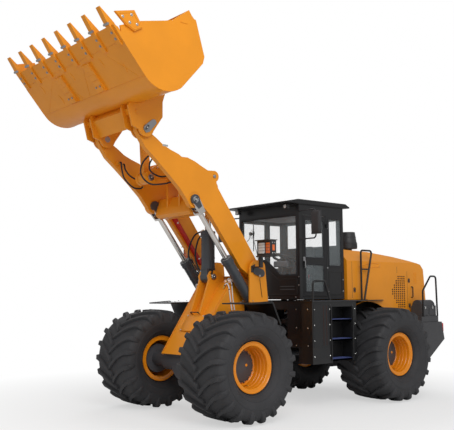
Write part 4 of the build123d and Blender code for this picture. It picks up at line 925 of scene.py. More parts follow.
# ---------------------------------------------------------------- hoses
class DressHoses(bpy.types.Operator):
    """Hydraulic hoses, their fittings and clamps, each riding on the body that carries it"""
    bl_idname = "loader.hoses"
    bl_label = "Hoses"

    def execute(self, context):
        groups = {
            "tilt_barrel": [
                [(0.108, -1.385, 2.9), (0.215, -1.45, 2.8), (0.255, -1.48, 2.52), (0.205, -1.44, 2.26),
                (0.118, -1.395, 2.15)],
                [(-0.108, -1.385, 2.9), (-0.25, -1.46, 2.81), (-0.32, -1.52, 2.54), (-0.25, -1.47, 2.28),
                (-0.118, -1.395, 2.15)],
                [(-0.1, -1.4, 2.84), (-0.18, -1.43, 2.74), (-0.215, -1.46, 2.5), (-0.18, -1.43, 2.3),
                (-0.11, -1.395, 2.21)],
            ],
            "bellcrank": [
                [(0.128, -2.48, 3.8), (0.15, -2.42, 3.85), (0.16, -2.25, 3.88), (0.158, -2.05, 3.905),
                (0.128, -1.9, 3.88)],
                [(-0.128, -2.48, 3.8), (-0.15, -2.42, 3.85), (-0.16, -2.25, 3.88), (-0.158, -2.05, 3.905),
                (-0.128, -1.9, 3.88)],
            ],
            FRONT: [
                [(0.385, -1.02, 1.985), (0.35, -1.11, 1.96), (0.25, -1.18, 1.955), (0.12, -1.2, 1.985),
                (0.1, -1.215, 2.03)],
                [(-0.385, -1.02, 1.985), (-0.35, -1.11, 1.96), (-0.25, -1.18, 1.955), (-0.12, -1.2, 1.985),
                (-0.1, -1.215, 2.03)],
                [(0.385, -0.8, 1.7), (0.33, -0.84, 1.66), (0.2, -0.85, 1.64), (-0.2, -0.85, 1.64),
                (-0.33, -0.84, 1.66), (-0.385, -0.8, 1.7)],
            ],
            REAR: [
                [(0.15, 0.33, 1.16), (0.155, 0.25, 1.29), (0.15, 0.12, 1.33), (0.148, 0.06, 1.3)],
                [(-0.15, 0.33, 1.16), (-0.155, 0.25, 1.29), (-0.15, 0.12, 1.33), (-0.148, 0.06, 1.3)],
            ],
        }
        for body, paths in groups.items():
            hoses, sockets, nuts = [], [], []
            for path in paths:
                line = flowing(path, 30)
                hoses.append(tube(line, 0.0135, 12))
                for place, toward in ((line[0], line[1] - line[0]), (line[-1], line[-2] - line[-1])):
                    sockets.append(turned([(-0.004, 0.0155), (0.0, 0.017), (0.036, 0.017), (0.04, 0.0155),
                        (0.041, 0.0137)], place, toward, 18))
                    nuts.append(turned([(-0.02, 0.012), (-0.019, 0.016), (-0.005, 0.016), (-0.004, 0.012)],
                        place, toward, 6))
            put(f"hoses_{body}", hoses, "hose", body)
            put(f"hose_sockets_{body}", sockets, "zinc", body)
            put(f"hose_nuts_{body}", nuts, "brass", body, angle=20)
        self.sleeves()
        self.coupler_hoses()
        self.tip_loops()
        return {"FINISHED"}

    def sleeves(self):
        """Two pale sleeved hoses each side that rise along the side plate and bend over its edge."""
        sleeves, bands, elbows = [], [], []
        for k in (0, 1):
            line = flowing([(0.4205, -1.22 + 0.055 * k, 1.6), (0.4205, -1.255 + 0.055 * k, 1.8),
                (0.4205, -1.278 + 0.055 * k, 1.955 + 0.08 * k),
                            (0.395, -1.292 + 0.055 * k, 2.02 + 0.08 * k),
                            (0.35, -1.3 + 0.055 * k, 2.005 + 0.08 * k),
                            (0.332, -1.304 + 0.055 * k, 1.962 + 0.08 * k)], 20)
            sleeves.append(tube(line, 0.0098, 12))
            bands += [turned([(-0.006, 0.0097), (-0.006, 0.0105), (0.006, 0.0105), (0.006, 0.0097)], line[i],
                line[i + 1] - line[i], 18, loop=True) for i in (12, 36, 84)]
            elbows.append(turned([(-0.018, 0.014), (-0.016, 0.019), (-0.002, 0.019), (0.0, 0.016),
                (0.03, 0.016), (0.032, 0.0138)], line[-1], line[-2] - line[-1], 14))
        put("sleeved_hoses", both(sleeves), "white", FRONT)
        put("sleeve_bands", both(bands), "hose", FRONT)
        put("sleeve_elbows", both(elbows), "brass", FRONT)

    def coupler_hoses(self):
        """Two hoses on the coupler for its locking cylinder, with bright elbows."""
        hoses, elbows = [], []
        for x in (0.2, 0.245):
            line = flowing([(x, -2.76, 4.7), (x, -2.7, 4.69), (x - 0.01, -2.655, 4.64),
                (x - 0.02, -2.65, 4.56), (x - 0.02, -2.72, 4.5)], 28)
            hoses.append(tube(line, 0.0115, 12))
            elbows += [turned([(-0.006, 0.011), (-0.004, 0.015), (0.03, 0.015), (0.032, 0.012)], line[0],
                line[1] - line[0], 12),
                turned([(-0.006, 0.011), (-0.004, 0.015), (0.03, 0.015), (0.032, 0.012)], line[-1],
                line[-2] - line[-1], 12)]
        put("coupler_hoses", hoses, "hose", "bucket")
        put("coupler_elbows", elbows, "brass", "bucket")

    def tip_loops(self):
        """Two long hoses that hang in loops between the arms near the boom's tip, with bulkhead fittings."""
        hoses, sockets, nuts = [], [], []
        for start, path in (
            (0.47, [(-2.81, 3.915, 0.38), (-2.86, 3.8, 0.28), (-2.84, 3.64, 0.23), (-2.68, 3.52, 0.235),
            (-2.48, 3.53, 0.33), (-2.36, 3.58, 0.44)]),
            (0.47, [(-2.74, 3.895, 0.4), (-2.76, 3.8, 0.33), (-2.7, 3.7, 0.28), (-2.52, 3.64, 0.28),
            (-2.36, 3.68, 0.36), (-2.27, 3.72, 0.44)])):
            line = flowing([(start, path[0][0], path[0][1] + 0.008)] + [(x, y, z) for y, z, x in path]
                + [(start, path[-1][0] + 0.01, path[-1][1] + 0.01)], 24)
            hoses.append(tube(line, 0.0125, 12))
            for place, toward in ((line[0], line[1] - line[0]), (line[-1], line[-2] - line[-1])):
                sockets.append(turned([(-0.004, 0.0145), (0.0, 0.0165), (0.05, 0.0165), (0.054, 0.015),
                    (0.055, 0.0127)], place, toward, 18))
                nuts.append(turned([(-0.03, 0.0115), (-0.029, 0.019), (-0.005, 0.019), (-0.004, 0.0115)],
                    place, toward, 6))
        put("tip_hoses", both(hoses), "hose", "boom")
        put("tip_hose_sockets", both(sockets), "brass", "boom")
        put("tip_hose_nuts", both(nuts), "zinc", "boom", angle=20)
        rings = []
        for y, z in ((-2.81, 3.925), (-2.74, 3.905), (-2.35, 3.59), (-2.26, 3.73)):
            rings.append(block((0.452, y - 0.03, z - 0.03), (0.4855, y + 0.03, z + 0.03)))
        put("tip_bulkheads", both(rings), "orange", "boom", 0.004)


# ---------------------------------------------------------------- front frame and boom
class DressBoom(bpy.types.Operator):
    """Strut pin, rim and bolts, crossbeam seams, pipes with their clips and the blank plate"""
    bl_idname = "loader.boom"
    bl_label = "Boom"

    def execute(self, context):
        strut = turned([(-0.006, 0.02), (0.004, 0.026), (0.01, 0.026), (0.014, 0.02), (0.014, 0.002)],
            (0.5755, -1.7, 3.69), LEFT, 30)
        put("strut_pin", strut, "pin", "boom")
        axis = unit(np.array([0.0, -1.13 + 1.715, 2.365 - 3.119]))
        up = unit(np.cross(axis, LEFT))
        holes = [np.array([-0.436, -1.715, 3.119]) + axis * d for d in (0.1, 0.84)]
        put("strut_bolts", bolt_heads(holes, LEFT, 0.013, 0.004), "zinc", "boom")
        flange = [np.array([-0.4366, -1.715, 3.119]) + axis * d + up * h
            for d, h in ((0.05, -0.028), (0.05, 0.028), (0.89, 0.028), (0.89, -0.028))]
        edge = np.array(flange)
        inner = edge.mean(0) + (edge - edge.mean(0)) * np.array([1, 0.9, 0.9])
        lift = np.array([0.002, 0, 0])
        put("strut_rim", grid(np.stack([edge, edge + lift, inner + lift, inner]), loop_rows=True,
            loop_columns=True), "red", "boom", 0.001)
        bead = weld(np.array([(0.4845, -1.8, 3.1), (0.4845, -1.83, 3.25), (0.4845, -1.86, 3.4)]), 0.005)
        put("crossbeam_welds", both(bead), "orange", "boom")
        lines, clips = [], []
        for x in (0.465, 0.446):
            line = rounded([(x, -1.13, 2.42), (x, -1.36, 2.745), (x, -1.64, 3.13)], 0.06, 6)
            lines.append(tube(line, 0.008, 10))
        for t in (0.2, 0.5, 0.8):
            y, z = -1.13 - 0.51 * t, 2.42 + 0.71 * t
            clips.append(block((0.436, y - 0.012, z - 0.014), (0.4855, y + 0.012, z + 0.014)))
        put("boom_pipes", lines, "cylinder", "boom")
        put("boom_pipe_clips", clips, "pin", "boom", 0.003)
        plate = block((0.5752, -2.7, 4.045), (0.5772, -2.6, 4.075))
        put("boom_blank_plate", plate, "zinc", "boom", 0.0008)
        return {"FINISHED"}


class DressFrontFrame(bpy.types.Operator):
    """Nose handle, seams and hatch, tower caps and keepers, hitch caps and axle bolts"""
    bl_idname = "loader.front"
    bl_label = "Front frame"

    def execute(self, context):
        handle = rounded([(0.1, -1.6, 1.528), (0.1, -1.655, 1.57), (-0.1, -1.655, 1.57), (-0.1, -1.6, 1.528)],
            0.018, 5)
        put("nose_handle", tube(handle, 0.0085, 12), "black", FRONT)
        slope = unit(np.array([0.0, 0.77, 1.12]))
        out = unit(np.array([0.0, -1.12, 0.77]))
        seams = []
        for x in (-0.381, 0.381):
            seams.append(weld(np.array([(x, -2.0 + 0.77 * t, 0.92 + 1.12 * t) for t in (0.03, 0.5, 0.97)])
                + out * 0.014, 0.005))
        put("nose_welds", seams, "orange", FRONT)
        lid_low = np.array([0, -2.0, 0.92]) + slope * 0.42 + out * 0.0155
        corners = np.array([lid_low + slope * b + np.array([a, 0, 0])
            for a, b in ((-0.22, 0), (0.22, 0), (0.22, 0.3), (-0.22, 0.3))])
        small = corners.mean(0) + (corners - corners.mean(0)) * 0.985
        put("nose_hatch", grid(np.stack([corners, corners + out * 0.005, small + out * 0.007]),
            loop_columns=True), "orange", FRONT, 0.001)
        bolts = [corners.mean(0) + (c - corners.mean(0)) * 0.9 + out * 0.007 for c in corners]
        put("nose_hatch_bolts", bolt_heads(bolts, tuple(out), 0.011, 0.009), "zinc", FRONT)
        tower = both(prism([(-0.995, 2.335), (-0.95, 2.378), (-0.76, 2.378), (-0.722, 2.335)], 0.6502,
            0.6542))
        put("tower_caps", tower, "orange", FRONT, 0.002)
        oval = both(keeper((0.665, -0.85, 2.205), LEFT, 0.25, 0.125, 0.01, -0.25))
        put("tower_keepers", oval, "hub", FRONT, 0.002)
        put("tower_keeper_bolts", both(bolt_heads([(0.675, -0.842, 2.145)], LEFT, 0.013, 0.012)), "zinc",
            FRONT)
        line = both(tube(rounded([(0.672, -0.838, 2.105), (0.656, -0.815, 2.03), (0.656, -0.775, 1.8)], 0.03,
            5), 0.004, 8))
        put("tower_grease_lines", line, "hose", FRONT)
        hitch = []
        for z in (0.6795, 1.1455):
            hitch.append(turned([(0, 0.15), (0.012, 0.15), (0.016, 0.146), (0.016, 0.09), (0.01, 0.085),
                (0.01, 0.004)], (0, 0, z + (0.05 if z > 1 else -0.065)), UP, 44))
        put("hitch_caps", hitch, "hub", REAR)
        rings = circle_of((0, 0, 1.2115), 0.118, 8, 0.2, "z")
        put("hitch_bolts", bolt_heads(rings, UP, 0.012, 0.01), "pin", REAR)
        self.axles()
        return {"FINISHED"}

    def axles(self):
        """Drive cover bolts, and the flanges with their bolts, of both axles."""
        for body, y in ((FRONT, -AXLE_REACH), (REAR, AXLE_REACH)):
            side = 1 if body == REAR else -1
            ring = circle_of((0, y - side * 0.232, AXLE_HEIGHT), 0.19, 14, 0.1, "y")
            put(f"{body}_drive_cover_bolts", bolt_heads(ring, (0, -side, 0), 0.011, 0.01), "pin", body)
            flange = both(turned([(-0.012, 0.152), (-0.01, 0.16), (0.01, 0.16), (0.012, 0.152)],
                (0.4, y, AXLE_HEIGHT), LEFT, 48))
            put(f"{body}_axle_flanges", flange, "black", body)
            ends = circle_of((0.414, y, AXLE_HEIGHT), 0.146, 12, 0.1, "x")
            put(f"{body}_axle_bolts", both(bolt_heads(ends, LEFT, 0.01, 0.009)), "pin", body)


# ---------------------------------------------------------------- cab
def strip_round(outline, width, depth, axis="x", level=0.0, out=1.0, radius=0.03):
    """A flat gasket: a band of the given width carried round a closed outline, raised with a soft crown.

    Each corner of the outline is an arc, and the band's four edges are the outline pushed out along
    its own normals by 0, a quarter, three quarters and the whole of the width.
    """
    p = np.asarray(outline, float)
    n = len(p)
    t = np.linspace(0, 1, 6)[:, None]
    ring = []
    for k in range(n):
        a, c, b = p[k - 1], p[k], p[(k + 1) % n]
        reach_a = min(radius, 0.45 * np.linalg.norm(a - c))
        reach_b = min(radius, 0.45 * np.linalg.norm(b - c))
        s, e = c + unit(a - c) * reach_a, c + unit(b - c) * reach_b
        ring.append((1 - t) ** 2 * s + 2 * t * (1 - t) * c + t ** 2 * e)
    ring = np.concatenate(ring)
    along = unit(np.roll(ring, -1, 0) - np.roll(ring, 1, 0))
    normal = np.column_stack([along[:, 1], -along[:, 0]])
    area = 0.5 * np.sum(ring[:, 0] * np.roll(ring[:, 1], -1) - ring[:, 1] * np.roll(ring[:, 0], -1))
    normal *= np.sign(area)
    rows = [(0.0, 0.0), (0.0, 0.7), (0.25, 1.0), (0.75, 1.0), (1.0, 0.7), (1.0, 0.0)]
    flat = np.stack([np.column_stack([ring + normal * width * (w - 0.5),
        np.full(len(ring), level + out * depth * d)]) for w, d in rows])
    order = {"x": [2, 0, 1], "y": [0, 2, 1], "z": [0, 1, 2]}[axis]
    return grid(flat[:, :, order], loop_rows=True, loop_columns=True)


WINDSCREEN = [(-0.7, 2.44), (-0.07, 2.44), (0.3, 2.17), (0.7, 2.17), (0.7, 3.19), (-0.7, 3.19)]


def rectangle(a, b):
    """The four corners between two opposite ones."""
    return [(a[0], a[1]), (b[0], a[1]), (b[0], b[1]), (a[0], b[1])]


class DressCab(bpy.types.Operator):
    """Window gaskets, pressed panels, wiper, hinges, lamps and seams of the cab, its roof and mirrors"""
    bl_idname = "loader.cab"
    bl_label = "Cab"

    def execute(self, context):
        put("windscreen_gasket", strip_round(WINDSCREEN, 0.034, 0.006, "y", -0.0002, -1), "hose", REAR)
        put("rear_window_gasket", strip_round(rectangle((-0.64, 2.7), (0.64, 3.17)), 0.032, 0.005, "y",
            1.1302, 1), "hose", REAR)
        quarter = strip_round(rectangle((0.735, 2.33), (1.07, 3.17)), 0.03, 0.005, "x", CAB_SIDE)
        put("quarter_gaskets", both(quarter), "hose", REAR)
        side = strip_round(rectangle((0.08, 2.25), (0.655, 3.17)), 0.03, 0.005, "x", -CAB_SIDE, -1)
        put("side_window_gasket", side, "hose", REAR)
        panes = merged(strip_round(rectangle((0.14, 2.46), (0.61, 3.12)), 0.028, 0.005, "x", CAB_SIDE),
            strip_round(rectangle((0.14, 1.88), (0.61, 2.36)), 0.028, 0.005, "x", CAB_SIDE))
        put("door_gaskets", panes, "hose", "door_left")
        self.pressings()
        self.door()
        self.wiper()
        self.roof()
        self.mirrors()
        return {"FINISHED"}

    def pressings(self):
        """Raised pressed borders and ribs in the lower cab panels, with bolts along their edges; the ribs are
        grey against the black panel as a painted highlight on their edges.
        """
        borders = [
            strip_round([(-0.7, 1.84), (-0.7, 2.36), (-0.1, 2.36), (0.26, 2.1), (0.7, 2.1), (0.7, 1.84)],
            0.02, 0.007, "y", -0.0002, -1),
            strip_round([(0.735, 1.84), (1.07, 1.84), (1.07, 2.24), (0.735, 2.24)], 0.018, 0.006, "x",
            CAB_SIDE),
            strip_round([(0.735, 1.84), (1.07, 1.84), (1.07, 2.24), (0.735, 2.24)], 0.018, 0.006, "x",
            -CAB_SIDE, -1),
            strip_round([(0.08, 1.84), (0.655, 1.84), (0.655, 2.18), (0.08, 2.18)], 0.018, 0.006, "x",
            -CAB_SIDE, -1),
            strip_round(rectangle((-0.62, 1.84), (0.62, 2.62)), 0.02, 0.006, "y", 1.1302, 1)]
        ribs = []
        for z in (1.93, 1.98):
            ribs.append(prism([(0.28, z - 0.009), (0.3, z), (0.28, z + 0.009), (0.62, z + 0.009), (0.64, z),
                (0.62, z - 0.009)], -0.0062, 0.0002, "y"))
        put("cab_pressings", borders, "black", REAR, 0.0015)
        # The two ribs take the grey finish, lighter than the black panel, as a painted highlight standing in
        # for light caught on their edges.
        put("cab_ribs_painted_highlight", ribs, "grey", REAR, 0.0015)
        put("cab_crossmember", block((-0.505, 0.03, 1.58), (0.505, 0.22, 1.7355)), "black", REAR, 0.012)
        bolts = merged(
            bolt_heads([(x, -0.0005, z)
            for x, z in ((-0.66, 1.8), (0.0, 1.8), (0.66, 1.8), (0.735, 2.0), (0.735, 2.14))], AHEAD, 0.01,
            0.009),
            bolt_heads([(0.7605, y, z) for y, z in ((0.7, 2.3), (1.1, 1.9), (1.1, 2.1))], LEFT, 0.01, 0.009),
            bolt_heads([(-0.7605, y, z)
            for y, z in ((0.7, 2.28), (1.1, 1.9), (1.1, 2.1), (0.04, 1.9), (0.04, 2.1))], (-1, 0, 0), 0.01,
            0.009))
        put("cab_panel_bolts", bolts, "pin", REAR)
        mounts = [turned([(0, 0.055), (0.006, 0.06), (0.03, 0.06), (0.038, 0.052), (0.046, 0.05),
            (0.046, 0.03)], (x, y, 1.7405), UP, 28) for x in (-0.6, 0.6) for y in (0.14, 0.98)]
        put("cab_mounts", merged(*[(m[0] * (1, 1, 0.25) + (0, 0, 1.7405 * 0.75), m[1]) for m in mounts]),
            "hose", REAR)

    def door(self):
        """The door's raised centre rail, hinge screws, lock case and handle grip."""
        rail = strip_round(rectangle((0.11, 1.835), (0.64, 3.165)), 0.014, 0.004, "x", CAB_SIDE)
        middle = prism([(0.125, 2.385), (0.625, 2.385), (0.625, 2.435), (0.125, 2.435)], 0.7601, 0.765, "x")
        put("door_rails", merged(rail, middle), "black", "door_left", 0.002)
        case = prism([(0.086, 2.405), (0.132, 2.405), (0.132, 2.475), (0.086, 2.475)], 0.7601, 0.77, "x")
        key = turned([(0, 0.011), (0.004, 0.012), (0.006, 0.01), (0.006, 0.003)], (0.77, 0.109, 2.452), LEFT,
            20)
        put("door_lock", merged(case, key), "pin", "door_left", 0.003)
        grip = tube(rounded([(0.761, 0.11, 2.285), (0.789, 0.11, 2.29), (0.789, 0.11, 2.41),
            (0.761, 0.11, 2.415)], 0.014, 6), 0.0085, 12)
        put("door_grip", grip, "pin", "door_left")
        inner = tube(rounded([(0.716, 0.2, 2.405), (0.672, 0.2, 2.405), (0.672, 0.56, 2.405),
            (0.716, 0.56, 2.405)], 0.03, 6), 0.01, 12)
        put("door_inner_rail", inner, "black", "door_left")
        for z in (1.9, 3.0):
            put(f"hinge_screws_{int(z * 10)}",
                bolt_heads([(0.7605, 0.715, z - 0.01), (0.7605, 0.715, z + 0.022)], LEFT, 0.007, 0.006),
                "pin", REAR)

    def wiper(self):
        """A windscreen wiper: motor cap, arm bent over the glass, blade holder and rubber edge."""
        cap = turned([(0, 0.03), (0.012, 0.03), (0.018, 0.022), (0.03, 0.018), (0.03, 0.004)],
            (-0.2, -0.0005, 2.395), AHEAD, 26)
        arm = tube(rounded([(-0.2, -0.026, 2.395), (-0.245, -0.034, 2.56), (-0.355, -0.024, 2.86)], 0.1, 6),
            np.linspace(0.009, 0.005, 8), 8)
        blade = prism([(-0.019, 2.62), (-0.011, 2.62), (-0.0075, 2.86), (-0.011, 3.1), (-0.019, 3.1),
            (-0.024, 2.86)], -0.006, 0.006, "x")
        put("wiper_arm", merged(cap, arm), "trim", REAR)
        put("wiper_blade", (blade[0] + (-0.355, 0, 0), blade[1]), "hose", REAR, 0.0012)

    def roof(self):
        """Beads along the roof's sides, its pressed ribs, and the work lamps' lenses and rims."""
        bead = strip_round([(-0.15, 3.386), (1.16, 3.386), (1.16, 3.442), (0.0, 3.442)], 0.012, 0.004, "x",
            0.7852)
        put("roof_beads", both(bead), "black", REAR, 0.001)
        ribs = [tube(np.array([(x, 0.05, 3.4515), (x, 1.12, 3.4515)]), 0.012, 10)
            for x in (-0.45, -0.15, 0.15, 0.45)]
        flat = [(r[0] * (1, 1, 0.35) + (0, 0, 3.4515 * 0.65), r[1]) for r in ribs]
        put("roof_ribs", flat, "black", REAR)
        lamps, rims = [], []
        for y, way in ((-0.18, -1), (1.23, 1)):
            for x in (-0.61, 0.61):
                lamps.append(turned([(0.0, 0.034), (0.003, 0.032), (0.006, 0.02), (0.007, 0.002)],
                    (x, y, 3.3275), (0, way, 0), 30))
                rims.append(turned([(0.0, 0.036), (0.006, 0.036), (0.007, 0.0335), (0.002, 0.0325)],
                    (x, y, 3.3275), (0, way, 0), 30, loop=True))
        put("work_lamp_lenses", lamps, "clear", REAR)
        put("work_lamp_rims", rims, "plastic", REAR)

    def mirrors(self):
        """Mirror glass set in a rubber edge, clamps on the arm."""
        low, high = (1.103, 2.85), (1.277, 3.2)
        pane_surface = prism(rectangle(low, high), -0.0325, -0.0295, "y")
        put("mirror_glass", both(pane_surface), "chrome", REAR, 0.001)
        edge = strip_round(rectangle((1.095, 2.842), (1.285, 3.208)), 0.014, 0.005, "y", -0.0325, 1)
        put("mirror_edges", both(edge), "plastic", REAR)
        shell = pillow((1.19, -0.046, 3.025), (0.103, 0.193, 0.032), math.pi / 2, 0.3)
        put("mirror_shells", both(shell), "plastic", REAR)
        clamps = [turned([(-0.022, 0.0125), (-0.022, 0.017), (0.022, 0.017), (0.022, 0.0125)],
            (1.16, -0.02, z), UP, 20, loop=True) for z in (2.9, 3.15)]
        put("mirror_clamps", both(clamps), "plastic", REAR)


# ---------------------------------------------------------------- inside the cab
def pillow(centre, half, tilt=0.0, round_off=0.34, channels=0, sink=0.006, rows=56, columns=72):
    """A crowned pad: a superellipsoid whose sides pull in, with sewn channels and a welted edge.

    x, y and z are half sizes times signed powers of the cosines and sines of two angles; the top is
    lowered along each channel by a narrow bell, and the whole is tilted about the x axis.
    """
    u = np.linspace(-math.pi / 2, math.pi / 2, rows)[:, None]
    v = np.linspace(0, 2 * math.pi, columns, endpoint=False)[None, :]
    power = lambda value, e: np.sign(value) * np.abs(value) ** e
    x = power(np.cos(u), 0.55) * power(np.cos(v), round_off)
    y = power(np.cos(u), 0.55) * power(np.sin(v), round_off)
    z = np.broadcast_to(power(np.sin(u), 0.72), x.shape) * (1 - 0.1 * x ** 2 - 0.08 * y ** 2)
    pull = 1 - 0.02 * (1 - np.abs(x)) * (np.abs(y) > 0.8) - 0.012 * np.abs(z)
    points = np.stack([x * pull * half[0], y * pull * half[1], z * half[2]], -1)
    for k in range(channels):
        seam = (k + 1) / (channels + 1) * 2 - 1
        bell = np.exp(-((y - seam * 0.8) / 0.035) ** 2) * (np.abs(x) < 0.74)
        points[..., 2] -= np.where(z > 0, sink * bell, 0)
    side_seam = np.exp(-((np.abs(x) - 0.74) / 0.03) ** 2)
    points[..., 2] -= np.where(z > 0, sink * side_seam, 0)
    c, s = math.cos(tilt), math.sin(tilt)
    turn = np.array([[1, 0, 0], [0, c, -s], [0, s, c]])
    return grid(points @ turn.T + np.asarray(centre, float), loop_columns=True)


class DressSeat(bpy.types.Operator):
    """The driver's seat: crowned cushions, welts, suspension bellows, armrests and belt"""
    bl_idname = "loader.seat"
    bl_label = "Driver's seat"

    def execute(self, context):
        cushion = put("seat_cushion", pillow((0, 0.655, 2.092), (0.238, 0.232, 0.052), 0.0, channels=4),
            "vinyl", REAR)
        back = put("seat_back", pillow((0, 0.896, 2.42), (0.228, 0.308, 0.046), math.radians(76.5),
            channels=5), "vinyl", REAR)
        rests = [put(f"armrest_{name}", pillow((side * 0.28, 0.69, 2.32), (0.03, 0.168, 0.02), 0.0), "vinyl",
            REAR) for name, side in SIDES]
        z = np.linspace(1.795, 2.0, 60)
        fold = 0.5 + 0.5 * np.cos(z * 2 * math.pi / 0.034)
        a = np.linspace(0, 2 * math.pi, 40, endpoint=False)
        wide = 0.105 + 0.012 * fold
        x = np.sign(np.cos(a)) * np.abs(np.cos(a)) ** 0.5
        y = np.sign(np.sin(a)) * np.abs(np.sin(a)) ** 0.5
        bellows = grid(np.stack([wide[:, None] * x, 0.63 + wide[:, None] * y * 0.62,
            np.broadcast_to(z[:, None], (60, 40))], -1), loop_columns=True)
        base = put("seat_bellows", bellows, "hose", REAR)
        tray = put("seat_tray", block((-0.178, 0.482, 2.001), (0.178, 0.798, 2.045)), "plastic", REAR, 0.012,
            segments=3)
        posts = put("armrest_posts",
            both(prism([(0.79, 2.11), (0.85, 2.11), (0.85, 2.3), (0.8, 2.305), (0.78, 2.27)], 0.242, 0.258)),
            "plastic", REAR, 0.004)
        hinge = both(turned([(0.0, 0.04), (0.006, 0.042), (0.016, 0.04), (0.018, 0.03), (0.018, 0.004)],
            (0.232, 0.835, 2.15), LEFT, 30))
        recline = put("recline_hinges", hinge, "plastic", REAR)
        for piece in (cushion, back, *rests, base, tray, posts, recline):
            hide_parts("seat")
        buckle = merged(block((0.205, 0.8, 2.135), (0.229, 0.835, 2.195)),
            block((0.21, 0.806, 2.19), (0.224, 0.829, 2.204)))
        put("belt_buckle", buckle, "ruby", REAR, 0.003)
        return {"FINISHED"}


class DressControls(bpy.types.Operator):
    """Steering wheel grip and spokes, gauges, levers, pedals, fan, floor mat and headliner"""
    bl_idname = "loader.controls"
    bl_label = "Controls"

    def execute(self, context):
        axis = unit(np.array([0.0, 0.35, 0.94]))
        hub = np.array([0.0, 0.385, 2.48])
        side, up = triad(axis)
        a = np.linspace(0, 2 * math.pi, 73)
        ring = hub + np.cos(a)[:, None] * side * 0.195 + np.sin(a)[:, None] * up * 0.195
        grip = tube(ring, 0.0165 + 0.0012 * np.cos(a * 36), 12)
        spokes = [tube(rounded([hub + axis * -0.006, hub + (math.cos(b) * side + math.sin(b) * up) * 0.1
            - axis * 0.004, hub + (math.cos(b) * side + math.sin(b) * up) * 0.194], 0.05, 6), 0.01, 8)
            for b in (0.5, 2.6, 4.71)]
        knob = turned([(0.0, 0.012), (0.02, 0.012), (0.024, 0.022), (0.04, 0.026), (0.052, 0.018),
            (0.056, 0.004)], hub + (math.cos(2.4) * side + math.sin(2.4) * up) * 0.195, axis, 20)
        boss = turned([(-0.03, 0.03), (-0.02, 0.045), (0.01, 0.048), (0.018, 0.036), (0.02, 0.004)], hub,
            axis, 32)
        put("steering_wheel", merged(grip, *spokes, knob, boss), "plastic", REAR)
        shroud = merged(block((-0.16, 0.275, 2.33), (0.16, 0.355, 2.44)),
            block((-0.062, 0.19, 1.8), (0.062, 0.3, 2.05)))
        put("dash", shroud, "trim", REAR, 0.022, segments=3)
        dials = [turned([(0.0, 0.03), (0.004, 0.031), (0.006, 0.027), (0.003, 0.025), (0.003, 0.002)],
            (x, 0.355, 2.392), (0, 1, 0.12), 28) for x in (-0.1, -0.03, 0.04, 0.11)]
        put("dials", dials, "glass", REAR)
        top = [block((-0.7, 0.305, 2.2505), (-0.465, 0.895, 2.262)),
            block((-0.66, 0.36, 2.258), (-0.5, 0.54, 2.272)),
            block((-0.66, 0.66, 2.258), (-0.5, 0.82, 2.268))]
        put("console_top", top, "trim", REAR, 0.005)
        levers, knobs = [], []
        for x in (-0.615, -0.56):
            levers.append(tube(rounded([(x, 0.43, 2.265), (x, 0.42, 2.36), (x + 0.01, 0.39, 2.43)], 0.04, 5),
                0.007, 8))
            levers.append(turned([(0.0, 0.034), (0.01, 0.03), (0.014, 0.022), (0.024, 0.02), (0.028, 0.012),
                (0.036, 0.01)], (x, 0.43, 2.264), UP, 20))
            knobs.append(turned([(0.0, 0.01), (0.008, 0.02), (0.03, 0.024), (0.048, 0.019), (0.056, 0.004)],
                (x + 0.01, 0.392, 2.425), (0.05, -0.25, 1), 20))
        put("levers", levers, "pin", REAR)
        put("lever_knobs", knobs, "plastic", REAR)
        pedals = [prism([(0.105, 1.84), (0.15, 1.98), (0.16, 1.975), (0.118, 1.83)], x - 0.038, x + 0.038)
            for x in (-0.19, 0.19)]
        put("pedals", pedals, "hose", REAR, 0.004)
        mat = [block((-0.69, 0.07, 1.8158), (0.6, 1.06, 1.821))]
        mat += [block((x, 0.09, 1.8208), (x + 0.018, 1.04, 1.8238)) for x in np.arange(-0.66, 0.58, 0.055)]
        put("floor_mat", mat, "hose", REAR, 0.001)
        liner = pillow((0, 0.56, 3.212), (0.66, 0.47, 0.018), 0.0, 0.2)
        put("headliner", (np.minimum(liner[0], (9, 9, 3.2345)), liner[1]), "trim", REAR)
        self.fan()
        return {"FINISHED"}

    def fan(self):
        """A small cab fan on a stem: wire guard rings, spokes and a motor can."""
        centre, axis = np.array([-0.57, 0.15, 2.95]), unit(np.array([0.35, 1.0, -0.12]))
        side, up = triad(axis)
        wires = []
        for radius, along in ((0.085, 0.0), (0.068, 0.016), (0.045, 0.022), (0.022, 0.024)):
            a = np.linspace(0, 2 * math.pi, 33)
            wires.append(tube(centre + axis * along + np.cos(a)[:, None] * side * radius + np.sin(a)[:,
                None] * up * radius, 0.0022, 6))
        for b in np.arange(6) * math.pi / 3:
            d = math.cos(b) * side + math.sin(b) * up
            wires.append(tube(np.array([centre + d * 0.085, centre + axis * 0.017 + d * 0.066,
                centre + axis * 0.024 + d * 0.015]), 0.0018, 6))
        motor = turned([(-0.06, 0.014), (-0.05, 0.03), (-0.012, 0.032), (0.0, 0.02), (0.01, 0.016),
            (0.014, 0.004)], centre, axis, 24)
        stem = tube(rounded([centre - axis * 0.04, centre - axis * 0.05 + (0, 0, -0.09), (-0.7, 0.14, 2.82)],
            0.05, 6), 0.007, 8)
        put("cab_fan", merged(*wires, motor, stem), "plastic", REAR)


